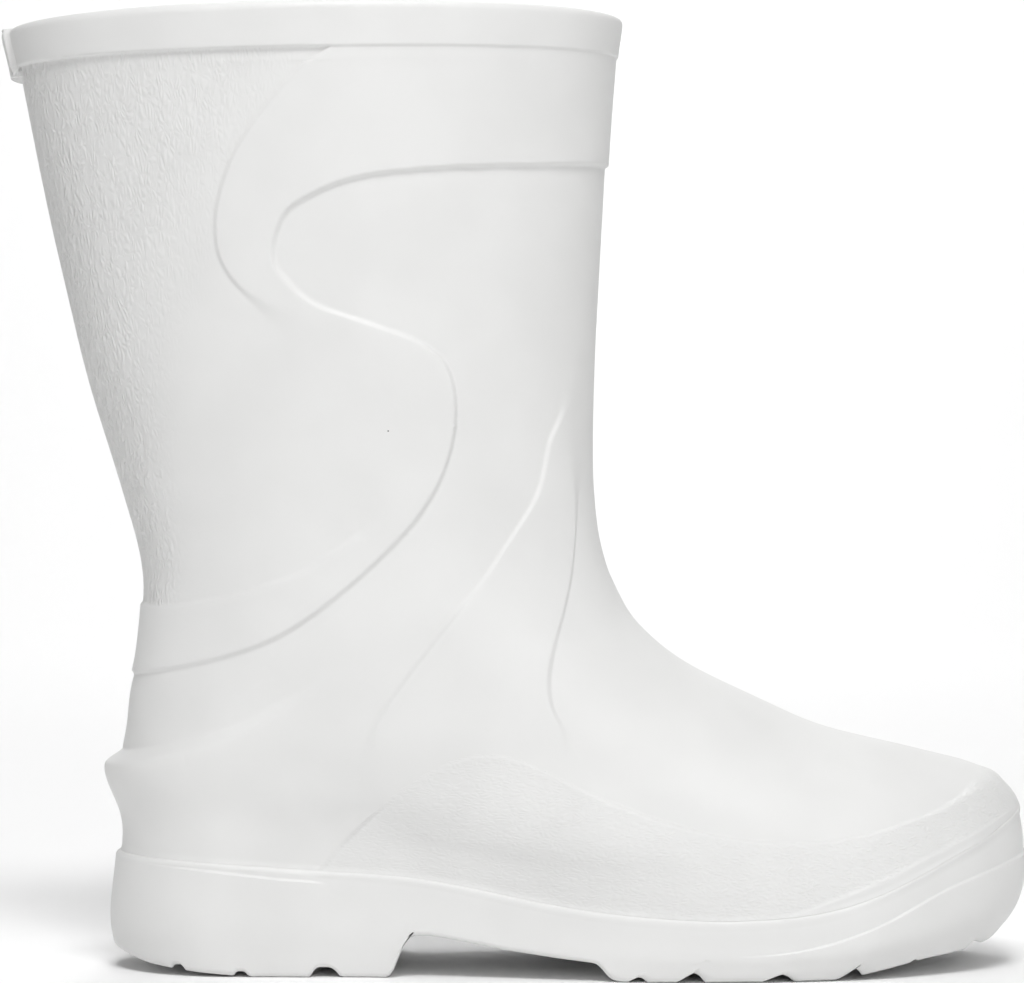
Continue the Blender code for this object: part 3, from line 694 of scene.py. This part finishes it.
# %% The sole's tables
BAND_LINE = (
    (0.0, 0.282, 1.0), (0.06, 0.272, 1.0), (0.13, 0.256, 1.0), (0.2, 0.24, 1.0), (0.219, 0.237, 1.0),
    (0.234, 0.232, 0.0), (0.3, 0.2, 0.0), (0.4, 0.16, 0.0), (0.55, 0.09, 0.0), (0.68, 0.066, 0.0),
    (0.74, 0.076, 0.6), (0.79, 0.103, 1.0), (0.84, 0.148, 1.0), (0.89, 0.205, 1.0), (0.945, 0.25, 1.0),
    (1.0, 0.285, 1.0),
)
SOLE_WALL = (
    (-0.15, 0.024, 0.925, 0.93), (0.0, 0.015, 0.945, 0.96), (0.13, 0.0075, 0.968, 0.98),
    (0.25, 0.0035, 0.981, 0.99), (0.38, 0.001, 0.994, 1.0), (0.64, 0.002, 1.004, 1.0),
    (0.85, 0.0048, 1.0037, 1.0), (1.0, 0.007, 0.9998, 1.0),
)
BED_LINE = (
    (0.0, 0.18), (0.25, 0.175), (0.4, 0.15), (0.55, 0.112), (0.68, 0.096), (0.85, 0.102), (1.0, 0.14),
)
UNDERSIDE = (
    (-0.1, 0.075), (0.01, 0.05), (0.05, 0.025), (0.105, 0.01), (0.16, 0.0), (0.31, 0.0), (0.3265, 0.098),
    (0.333, 0.1055), (0.345, 0.106), (0.363, 0.102), (0.427, 0.075), (0.49, 0.055), (0.53, 0.045),
    (0.541, 0.01), (0.552, 0.0), (0.785, 0.0), (0.83, 0.02), (0.88, 0.044), (0.931, 0.057), (0.956, 0.07),
    (0.98, 0.119), (1.0, 0.19), (1.1, 0.4),
)
# reach, width as a share of the widest, depth in mm
GROOVES = (
    (0.083, 0.5, 1.6), (0.15, 0.5, 1.6), (0.24, 1.0, 3.2), (0.572, 0.6, 1.6), (0.628, 0.9, 3.2),
    (0.721, 1.0, 2.5), (0.796, 1.0, 3.8), (0.868, 0.3, 0.7), (0.931, 0.55, 2.4),
)
GROOVE_SECTION = ((-0.58, 0.0), (-0.42, 0.75), (-0.28, 1.0), (0.16, 1.0), (0.36, 0.68), (0.58, 0.0))
CHANNELS = (
    (0.575, 0.9, -0.13), (0.575, 0.9, 0.19),
)
SOLE_STEP = 1.0 * MM
TOE_OUT = 0.45 * MM
SOLE_BAND_STEP = 0.8 * MM
BAND_SOFT = 0.3 * MM
GROOVE_WIDTH = 8.5 * MM
GROOVE_SWEEP = 9 * MM
STRAIGHT_END = 2 / 7  # share of the half width, from the edge, over which a groove runs straight
CHANNEL_WIDTH = 5 * MM
CHANNEL_DEPTH = 2.6 * MM
BED_CORNER = 4.5 * MM
TREAD_ROUND = 1.6 * MM
RIM_ROUND = 0.9 * MM
RIM_BEAD = 0.25 * MM
TREAD_SOFT = 0.5 * MM
PROFILE_SHIFTS = (-1.4 * MM, -0.7 * MM, 0, 0.7 * MM, 1.4 * MM)

# %% The tread as a height over the floor


def tread(x, y):
    """Height of the sole's underside, with its heel, arch, toe spring, swept grooves and channels."""
    line = np.array([(row[0] * LENGTH, float(height(row[1]))) for row in UNDERSIDE])
    level = np.mean([np.interp(x + shift, line[:, 0], line[:, 1]) for shift in PROFILE_SHIFTS], axis=0)
    wide = half_width(SOLE_RISE, np.clip(x / LENGTH, 0.02, 0.98))
    from_edge = 1 - np.abs(y - swing(x / LENGTH)) / wide
    sweep = GROOVE_SWEEP * np.clip((from_edge - STRAIGHT_END) / (1 - STRAIGHT_END), 0, 1)
    section = np.array(GROOVE_SECTION)
    for reach, width, deep in GROOVES:
        across = (x - reach * LENGTH - sweep) / (width * GROOVE_WIDTH)
        floor = np.interp(reach * LENGTH, line[:, 0], line[:, 1])
        cut = floor + deep * MM * np.interp(across, section[:, 0], section[:, 1])
        level = np.where(np.abs(across) < section[-1, 0], np.maximum(level, cut), level)
    for first, last, offset in CHANNELS:
        middle = offset * BALL_WIDTH + swing(x / LENGTH)
        deep = CHANNEL_DEPTH
        for within in (CHANNEL_WIDTH / 2 - np.abs(y - middle), x - first * LENGTH, last * LENGTH - x):
            deep = deep * soft_edge(within, 2 * TREAD_SOFT)
        level = np.maximum(level, deep)
    return level


def sole_out(share):
    """How far the sole's wall stands outside the upper's skin: further along the thicker mudguard."""
    share = np.asarray(share, float)
    along_mudguard = 0.8 * MUDGUARD_STEP * soft_step(share, 0.10, 0.24)
    return SOLE_STEP + along_mudguard + TOE_OUT * soft_step(share, 0.60, 0.80)


def sole_edge(up, turn, inset=0.0):
    """The sole's side wall: up is the share of the way from the floor to the sole line."""
    share = share_of(turn)
    line = height(spline(BAND_LINE, share)) / sole_line(share)
    below = soft_edge((line - up) * sole_line(share), 2 * BAND_SOFT)
    reaches, _, weights = np.array(BAND_LINE).T
    step = np.interp(share, reaches, weights) * SOLE_BAND_STEP * below
    base = skin(SOLE_RISE, turn)
    points = pushed(SOLE_RISE, turn, sole_out(share) + step - inset)
    drawn_in = narrowed(points, spline(SOLE_WALL, up, 3))
    ends = skin(SOLE_RISE, np.array([0.0, math.pi]))[:, 0]
    along = (base[:, 0] - ends[0]) / (ends[1] - ends[0])
    back, front = spline(SOLE_WALL, up, 1) * LENGTH, spline(SOLE_WALL, up, 2) * LENGTH
    points[:, 0] += (back - ends[0] + SOLE_STEP) * (1 - along) + (front - ends[1] - sole_out(1.0)) * along
    points[:, 1] = drawn_in[:, 1]
    points[:, 2] = sole_line(share) * up
    return points, (line - up) * sole_line(share), step


def seat(turn):
    """The ring on which the upper stands, just under its outer edge."""
    base = skin(HEM_RISE, turn)
    out = relief(HEM_RISE + 0 * turn, turn)[0] + hem(base, turn)
    return pushed(HEM_RISE, turn, out)


# %% [markdown]
# The wall ends where the tread cuts it off. That edge has no simple formula, so it is searched for.

# %% Where the wall meets the tread
EDGE_TURNS = 1440
NOTCH_TURNS = 20
edge_turns = np.linspace(-math.pi, math.pi, EDGE_TURNS + 1)


def tread_edge():
    """For each turn, the lowest share of the wall that is clear of the tread."""
    ups = np.linspace(-0.05, 0.95, 101)
    clear = []
    for up in ups:
        points, _, _ = sole_edge(np.full(len(edge_turns), up), edge_turns, TREAD_ROUND)
        clear.append(points[:, 2] - tread(points[:, 0], points[:, 1]))
    clear = np.array(clear)
    first = np.maximum(np.argmax(clear >= 0, axis=0), 1)
    turn = np.arange(len(edge_turns))
    low, high = clear[first - 1, turn], clear[first, turn]
    return ups[first - 1] + (ups[first] - ups[first - 1]) * np.clip(-low / (high - low), 0, 1)


edge_ups = tread_edge()
# The same edge without its notches: the wall's rows follow the true one below and this one above
window = np.hanning(2 * NOTCH_TURNS + 1)
even_ups = np.convolve(np.pad(edge_ups, NOTCH_TURNS, mode="wrap"), window / window.sum(), mode="valid")
edge_heights = edge_ups * sole_line(share_of(edge_turns)) / MM
print("height of the tread's edge in mm, lowest and highest:", edge_heights.min(), edge_heights.max())

# %% The sole's rows
SOLE_ROWS = {"tread": 24, "corner": 4, "wall": 26, "rim": 4, "cup": 6, "bed": 8}
FIRST_ROWS = dict(zip(SOLE_ROWS, np.cumsum([0, *SOLE_ROWS.values()]).tolist()))
LAST_SOLE_ROW = sum(SOLE_ROWS.values())
STEEP_REACH = 0.8 * MM


def in_part(row, part):
    """Which rows are in a part of the sole, and how far through it they are."""
    through = (row - FIRST_ROWS[part]) / SOLE_ROWS[part]
    return (through >= 0) & (through <= 1), np.clip(through, 0, 1)


def sole_shape(turn, row):
    """The outsole's surface, with each vertex's distance from the step along the side wall, or 1 off the
    wall.
    """
    share = share_of(turn)
    line = sole_line(share)
    up_edge = np.interp(turn, edge_turns, edge_ups)
    z_edge = up_edge * line
    points = np.zeros((len(turn), 3))

    chosen, through = in_part(row, "tread")
    rim, _, _ = sole_edge(up_edge, turn, TREAD_ROUND)
    spread = narrowed(rim, through)
    spread[:, 2] = tread(spread[:, 0], spread[:, 1])
    points[chosen] = spread[chosen]

    chosen, through = in_part(row, "corner")
    angle = (1 - through) * math.pi / 2
    up = (z_edge + TREAD_ROUND * (1 - np.sin(angle))) / line
    bend, _, _ = sole_edge(up, turn, TREAD_ROUND * (1 - np.cos(angle)))
    points[chosen] = bend[chosen]

    chosen, through = in_part(row, "wall")
    even = np.interp(turn, edge_turns, even_ups) * line
    z = even + TREAD_ROUND + (line - RIM_ROUND - even - TREAD_ROUND) * through
    up = (z + (z_edge - even) * (1 - through) ** 3) / line
    wall, band_off, _ = sole_edge(up, turn)
    points[chosen] = wall[chosen]
    band_edge = np.where(chosen, np.abs(band_off), 1.0)

    chosen, through = in_part(row, "rim")
    angle = through * math.pi / 2
    top, _, _ = sole_edge((line - RIM_ROUND) / line, turn)
    ring = seat(turn)
    flat = ((through + 1 - np.cos(angle)) / 2)[:, None]
    steep = (through + np.sin(angle)) / 2
    bulge = RIM_BEAD * np.sin(math.pi * through)
    slope = top + (ring - top) * flat + outward(SOLE_RISE, turn) * bulge[:, None]
    slope[:, 2] = top[:, 2] + (ring[:, 2] - top[:, 2]) * steep
    points[chosen] = slope[chosen]

    chosen, through = in_part(row, "cup")
    bed = height(spline(BED_LINE, share))
    drop = np.interp(through, [0, 0.2, 0.8, 1.0], [0.0, 0.0, 1.0, 1.0])
    inset = np.interp(through, [0, 0.2, 0.8, 1.0], [0.0, WALL, WALL, WALL + BED_CORNER])
    high = pushed(HEM_RISE, turn, -inset)
    low = pushed(SOLE_RISE, turn, -inset)
    wall_top = high + (low - high) * drop[:, None]
    corner = BED_CORNER * soft_step(through, 0.8, 1.0)
    wall_top[:, 2] = high[:, 2] + (bed + BED_CORNER - high[:, 2]) * drop - corner
    first = chosen & (through > 0)
    points[first] = wall_top[first]

    chosen, through = in_part(row, "bed")
    floor = narrowed(pushed(SOLE_RISE, turn, -(WALL + BED_CORNER)), 1 - through)
    floor[:, 2] = bed
    points[chosen] = floor[chosen]

    return points, band_edge


def sole_edges(turn, row):
    """Distance from the side's step, and zero where the tread is steep, the same on both sides."""
    points, edge = sole_shape(turn, row)
    for here in (points, sole_shape(-turn, row)[0]):
        x, y = here[:, 0], here[:, 1]
        along = tread(x + STEEP_REACH, y) - tread(x - STEEP_REACH, y)
        across = tread(x, y + STEEP_REACH) - tread(x, y - STEEP_REACH)
        steep = (np.abs(along) + np.abs(across) > STEEP_REACH / 3) & (row <= FIRST_ROWS["wall"])
        edge = np.where(steep, 0.0, edge)
    return edge


# %% Make the outsole
bm = tube(TURNS, LAST_SOLE_ROW)
for reach in EDGE_REACHES:
    halve_near(bm, sole_edges, reach, LAST_SOLE_ROW)
outsole = finish_piece(bm, "boot_outsole", origin_at_heel(sole_shape(*places(bm))[0]))
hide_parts("outsole")

# %% [markdown]
# ## The insole
# The footbed is a loose sheet of foam with a fabric top. It is cut to the bed, so its outline comes from
# the same function, half a millimetre smaller. Its edge is rounded a little, and the heel is pressed into
# a shallow cup.

# %% Make the insole
INSOLE_THICKNESS = 4 * MM
INSOLE_PLAY = 0.5 * MM
FIT_GAP = 0.3 * MM
INSOLE_ROWS = 12
EDGE_ROWS = 6
HEEL_CUP = 0.7 * MM
HEEL_MIDDLE = 0.13
CUP_REACH = 30 * MM


def insole_shape(turn, row):
    """The insole's surface: underside, edge, top."""
    share = share_of(turn)
    bed = height(spline(BED_LINE, share))
    edge_through = np.clip((row - INSOLE_ROWS) / EDGE_ROWS, 0, 1)
    lift = FIT_GAP + (INSOLE_THICKNESS - FIT_GAP) * (1 - np.cos(edge_through * math.pi)) / 2
    bulge = 0.5 * MM * np.sin(edge_through * math.pi)
    inset = WALL + BED_CORNER - lift + INSOLE_PLAY + (INSOLE_THICKNESS - FIT_GAP) / 6 - bulge
    points = pushed(SOLE_RISE, turn, -inset)
    under = np.clip(row / INSOLE_ROWS, 0, 1)
    over = np.clip((LAST_INSOLE_ROW - row) / INSOLE_ROWS, 0, 1)
    out = np.minimum(under, over)
    heel = np.exp(-(((points[:, 0] - HEEL_MIDDLE * LENGTH) / CUP_REACH) ** 2)) * (1 - out**2)
    points = narrowed(points, out)
    points[:, 2] = bed + lift - HEEL_CUP * heel * (over < 1)
    return points


LAST_INSOLE_ROW = 2 * INSOLE_ROWS + EDGE_ROWS
bm = tube(TURNS, LAST_INSOLE_ROW)
insole = finish_piece(bm, "boot_insole", origin_at_heel(insole_shape(*places(bm))))
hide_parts("insole")

# %% [markdown]
# ## Finishes
# The boot is foamed polyurethane, cast in a polished mould: a white, closed skin with a satin gloss.

# %% Helpers for materials


def colour(code):
    """An sRGB hex colour as the linear values that Blender wants."""
    channels = [int(code[i : i + 2], 16) / 255 for i in (1, 3, 5)]
    linear = [c / 12.92 if c <= 0.04045 else ((c + 0.055) / 1.055) ** 2.4 for c in channels]
    return (*linear, 1)


def node(tree, kind, settings=None, **inputs):
    """Adds a node: settings are its own, inputs are a socket's value or the socket that feeds it."""
    made = tree.nodes.new(kind)
    for key, value in (settings or {}).items():
        setattr(made, key, value)
    for key, value in inputs.items():
        numbered = key[0] == "i" and key[1:].isdigit()
        socket = made.inputs[int(key[1:]) if numbered else key]
        if isinstance(value, bpy.types.NodeSocket):
            tree.links.new(value, socket)
        else:
            socket.default_value = value
    return made


def new_material(name):
    material = bpy.data.materials.new(name)
    material.use_nodes = True
    tree = material.node_tree
    return material, tree, tree.nodes["Principled BSDF"]


def skin_deep(tree, surface, tint, height_mm, roughness):
    """Gives a material its colour, its gloss, and a relief in millimetres that only shades it."""
    bump = node(tree, "ShaderNodeBump", Height=height_mm, Distance=MM, Strength=1.0)
    tree.links.new(tint, surface.inputs["Base Color"])
    tree.links.new(bump.outputs["Normal"], surface.inputs["Normal"])
    surface.inputs["Roughness"].default_value = roughness


# %% [markdown]
# Patterns read the piece's own coordinates, in metres, so their sizes are real ones.

# %% Coordinates and small patterns
def stretched(tree, scale, lean=0.0):
    """Object coordinates, leant in the side view and squeezed: a small scale draws a pattern out."""
    place = node(tree, "ShaderNodeTexCoord").outputs["Object"]
    turned = node(tree, "ShaderNodeMapping", Vector=place, Rotation=(0, lean, 0), Scale=scale)
    return turned.outputs["Vector"]


def noise(tree, place, size, detail=2.0, roughness=0.5):
    """Noise with features of about that size in metres."""
    settings = {"Scale": 1 / size, "Detail": detail, "Roughness": roughness}
    return node(tree, "ShaderNodeTexNoise", Vector=place, **settings).outputs["Fac"]


def remap(tree, value, low, high):
    """Stretches low to high over 0 to 1, with soft ends."""
    soft = {"interpolation_type": "SMOOTHSTEP"}
    return node(tree, "ShaderNodeMapRange", soft, i0=value, i1=low, i2=high).outputs["Result"]


def calc(tree, operation, a, b=0.0, c=0.0):
    return node(tree, "ShaderNodeMath", {"operation": operation}, i0=a, i1=b, i2=c).outputs["Value"]


def blend_colour(tree, share, a, b):
    return node(tree, "ShaderNodeMix", {"data_type": "RGBA"}, i0=share, i6=a, i7=b).outputs[2]


# %% [markdown]
# The mould was etched with a leather grain at the back of the shaft and on the mudguard. On the shaft the
# wrinkles run along the back line, 1.6 mm apart, and on the mudguard they lie flat and are finer. Noise
# that is drawn out one way gives such wrinkles, and cell edges of a Voronoi pattern break them up. The
# grain's creases are also coloured a darker grey, which is painted shade. The masks say where each grain
# is, and faces without a grain get the plain skin, which renders sooner.

# %% White foam
FOAM_WHITE = "#E1E1E0"
CLOUDY_WHITE = "#DDDDDC"
# Painted shade: the grain's creases get this darker grey, mixed in at this share where the grain is full.
PAINTED_SHADE_GREY = "#CFCFCE"
PAINTED_SHADE_SHARE = 0.16
FOAM_IOR = 1.47
LEAN_OF_BACK = math.radians(-13.6)
SHAFT_WRINKLE = 1.55 * MM
TOE_WRINKLE = 1.2 * MM
DRIFT = 1.6  # how far the cells are bent, in cells
CREASE = 0.45  # half a crease's width, in cells
CELL_SHARE = 0.6  # the rest of the height is noise


def wrinkles(tree, size, scale, lean):
    """A leather grain: rounded cells drawn out one way, 1 on their tops and 0 in the creases."""
    place = stretched(tree, scale, lean)
    drift = node(tree, "ShaderNodeTexNoise", Vector=place, Scale=0.45 / size, Detail=0.0).outputs["Color"]
    far = (DRIFT * size,) * 3
    bent = node(tree, "ShaderNodeVectorMath", {"operation": "MULTIPLY_ADD"}, i0=drift, i1=far, i2=place)
    to_edge = {"feature": "DISTANCE_TO_EDGE"}
    cells = node(tree, "ShaderNodeTexVoronoi", to_edge, Vector=bent.outputs["Vector"], Scale=1 / size)
    tops = remap(tree, cells.outputs["Distance"], 0.0, CREASE)
    uneven = remap(tree, noise(tree, place, 1.7 * size, 1.0), 0.3, 0.7)
    return calc(tree, "MULTIPLY_ADD", tops, CELL_SHARE, calc(tree, "MULTIPLY", uneven, 1 - CELL_SHARE))


def foam(name, roughness, grains=()):
    """White foam from a mould: a faint cloudiness, a slightly uneven skin, and its grains, with painted
    shade in their creases.
    """
    material, tree, surface = new_material(name)
    plain = stretched(tree, (1, 1, 1))
    clouds = remap(tree, noise(tree, plain, 38 * MM, 2.0), 0.3, 0.7)
    tint = blend_colour(tree, clouds, colour(CLOUDY_WHITE), colour(FOAM_WHITE))
    height_mm = calc(tree, "MULTIPLY", noise(tree, plain, 8 * MM, 3.0, 0.4), 0.06)
    for mask, size, scale, lean, deep in grains:
        share = node(tree, "ShaderNodeAttribute", {"attribute_name": mask}).outputs["Fac"]
        grain = wrinkles(tree, size, scale, lean)
        height_mm = calc(tree, "MULTIPLY_ADD", calc(tree, "MULTIPLY", share, grain), deep, height_mm)
        # Painted shade: the colour turns greyer where the grain is low, in its creases, and more so where
        # the mask is deeper.
        shade = calc(tree, "MULTIPLY", share, calc(tree, "SUBTRACT", 1.0, grain))
        tint = blend_colour(tree, calc(tree, "MULTIPLY", shade, PAINTED_SHADE_SHARE), tint, colour(PAINTED_SHADE_GREY))
    skin_deep(tree, surface, tint, height_mm, roughness)
    surface.inputs["IOR"].default_value = FOAM_IOR
    return material


# mask, size of a wrinkle, how its coordinates are squeezed, lean in the side view, depth in mm
GRAINS = (
    ("rear_grain", SHAFT_WRINKLE, (1, 1, 0.42), LEAN_OF_BACK, 0.24),
    ("toe_grain", TOE_WRINKLE, (0.45, 0.45, 1.0), 0.0, 0.2),
)
SPECK = (27.9 * MM, -50 * MM, 174.7 * MM)
SPECK_RADIUS = 0.28 * MM


def add_speck(material):
    """A tiny dark speck of dirt on the outer side of the shaft, as a spot of colour."""
    tree = material.node_tree
    surface = tree.nodes["Principled BSDF"]
    tint = surface.inputs["Base Color"].links[0].from_socket
    place = stretched(tree, (1, 0.01, 1))
    centre = (SPECK[0], SPECK[1] * 0.01, SPECK[2])
    away = node(tree, "ShaderNodeVectorMath", {"operation": "DISTANCE"}, i0=place, i1=centre)
    spot = remap(tree, away.outputs["Value"], SPECK_RADIUS * 1.2, SPECK_RADIUS * 0.6)
    tree.links.new(blend_colour(tree, spot, tint, colour("#4A4A4A")), surface.inputs["Base Color"])


def share_out(mesh, masks):
    """Gives each face the material of its grain, by number from 1, and the plain one where it has none."""
    numbers = np.zeros(len(mesh.vertices), int)
    for number, mask in enumerate(masks, 1):
        found = np.zeros(len(mesh.vertices))
        mesh.attributes[mask].data.foreach_get("value", found)
        numbers[found > 0] = number
    for face in mesh.polygons:
        face.material_index = int(numbers[list(face.vertices)].max())
    return np.bincount([face.material_index for face in mesh.polygons])


SKIN_GLOSS = 0.46
SOLE_GLOSS = 0.48
upper.data.materials.append(foam("white_foam_skin", SKIN_GLOSS))
upper.data.materials.append(foam("shaft_grain_foam_with_painted_shade", SKIN_GLOSS, GRAINS[:1]))
upper.data.materials.append(foam("toe_grain_foam_with_painted_shade", SKIN_GLOSS, GRAINS[1:]))
add_speck(upper.data.materials[0])
print("faces of the upper, plain and with each grain:", share_out(upper.data, [g[0] for g in GRAINS]))
outsole.data.materials.append(foam("white_foam_sole", SOLE_GLOSS))

# %% [markdown]
# A loose footbed has a thin polyester knit on top. Two crossed sine waves, a loop apart, give its rows.

# %% Footbed fabric
KNIT_PITCH = 1.1 * MM


def footbed_fabric():
    """A white polyester knit over foam: rows of small loops, matt, with painted shade between the loops."""
    material, tree, surface = new_material("white_footbed_knit")
    place = stretched(tree, (1, 1, 1))
    axes = node(tree, "ShaderNodeSeparateXYZ", Vector=place).outputs
    turns = 2 * math.pi / KNIT_PITCH
    loops = calc(tree, "SINE", calc(tree, "MULTIPLY", axes["X"], turns))
    ribs = calc(tree, "SINE", calc(tree, "MULTIPLY", axes["Y"], turns))
    weave = calc(tree, "MULTIPLY", loops, ribs)
    fuzz = noise(tree, place, 0.5 * MM, 2.0)
    height_mm = calc(tree, "MULTIPLY_ADD", weave, 0.10, calc(tree, "MULTIPLY", fuzz, 0.08))
    # Painted shade: the colour is darker grey where the knit is low, between the loops, and paler on their
    # tops.
    share = remap(tree, weave, -1.0, 1.0)
    tint = blend_colour(tree, share, colour("#CFCEC9"), colour("#E2E1DD"))
    skin_deep(tree, surface, tint, height_mm, 0.9)
    surface.inputs["Sheen Weight"].default_value = 0.25
    return material


insole.data.materials.append(footbed_fabric())

# %% [markdown]
# ## Studio
# The photo shows the boot square from the side, at half its height, under soft light, on white.

# %% Camera
CAMERA_BACK = 1.20
CAMERA_HEIGHT = 0.1555
CAMERA_MIDDLE = 0.0672
PIXELS_PER_MM = 3.03
PHOTO_WIDTH = 1024
eye = bpy.data.cameras.new("side_view")
eye.sensor_width = 36
eye.lens = PIXELS_PER_MM * eye.sensor_width * CAMERA_BACK / MM / PHOTO_WIDTH
eye.clip_start, eye.clip_end = 0.05, 50
camera = placed("side_view", eye)
camera.location = (CAMERA_MIDDLE, -CAMERA_BACK, CAMERA_HEIGHT)
camera.rotation_euler = (math.pi / 2, 0, 0)
bpy.context.scene.camera = camera

# %% Floor and cove
COVE_RADIUS = 4.0
COVE_BEND = 1.2
COVE_HEIGHT = 3.0
COVE_STEPS = 96


def cove():
    """A pale round floor that curves up into a wall."""
    bm = bmesh.new()
    path = [(0, 0), (COVE_RADIUS - COVE_BEND, 0)]
    path += [
        (COVE_RADIUS - COVE_BEND + COVE_BEND * math.sin(a), COVE_BEND - COVE_BEND * math.cos(a))
        for a in np.linspace(0, math.pi / 2, 16)[1:]
    ]
    path.append((COVE_RADIUS, COVE_HEIGHT))
    verts = [bm.verts.new((x, 0, z)) for x, z in path]
    edges = [bm.edges.new(pair) for pair in zip(verts, verts[1:])]
    turned = {"cent": (0, 0, 0), "axis": (0, 0, 1), "angle": 2 * math.pi}
    bmesh.ops.spin(bm, geom=verts + edges, **turned, steps=COVE_STEPS, use_merge=True)
    floor = placed("studio_cove", smooth_mesh(bm, "studio_cove", 1e-5))
    return floor


floor = cove()
paint, tree, surface = new_material("matt_white_paint")
surface.inputs["Base Color"].default_value = colour("#F9F9F9")
surface.inputs["Roughness"].default_value = 0.9
floor.data.materials.append(paint)

# %% Lights


def softbox(name, place, target, size, power):
    """A large soft light that faces its target."""
    lamp = bpy.data.lights.new(name, "AREA")
    lamp.shape = "RECTANGLE"
    lamp.size, lamp.size_y = size
    lamp.energy = power
    thing = placed(name, lamp)
    thing.location = place
    thing.rotation_mode = "QUATERNION"
    thing.rotation_quaternion = (Vector(target) - Vector(place)).to_track_quat("-Z", "Y")
    thing.visible_camera = False


BOOT_MIDDLE = (0.07, 0, 0.13)


def watts(level, distance):
    """Power that gives a surface that far away the level, where 1 makes white paint fully white."""
    return level * math.pi**2 * distance**2


SOFTBOXES = (
    ("key_box", (0.1, -1.3, 2.1), BOOT_MIDDLE, (1.0, 0.7), 0.67),
    ("front_box", (0.2, -2.4, 0.5), BOOT_MIDDLE, (1.0, 0.8), 0.11),
    ("right_box", (1.1, -1.9, 1.6), BOOT_MIDDLE, (1.0, 1.0), 0.08),
    ("top_box", (0.1, 0.0, 1.7), BOOT_MIDDLE, (1.2, 1.0), 0.19),
    ("floor_box", (0.07, 1.6, 2.2), (0.07, 1.9, 0.0), (1.2, 1.0), 0.49),
    ("wall_box", (0.07, 2.9, 2.6), (0.07, 4.2, 0.6), (1.4, 0.6), 0.46),
)
for name, place, target, size, level in SOFTBOXES:
    softbox(name, place, target, size, watts(level, math.dist(place, target)))
world = bpy.data.worlds.new("studio_air")
bpy.context.scene.world = world
world.use_nodes = True
air = world.node_tree.nodes["Background"].inputs
air["Color"].default_value, air["Strength"].default_value = colour("#FFFFFF"), 0.01
bpy.context.scene.view_settings.view_transform = "Standard"
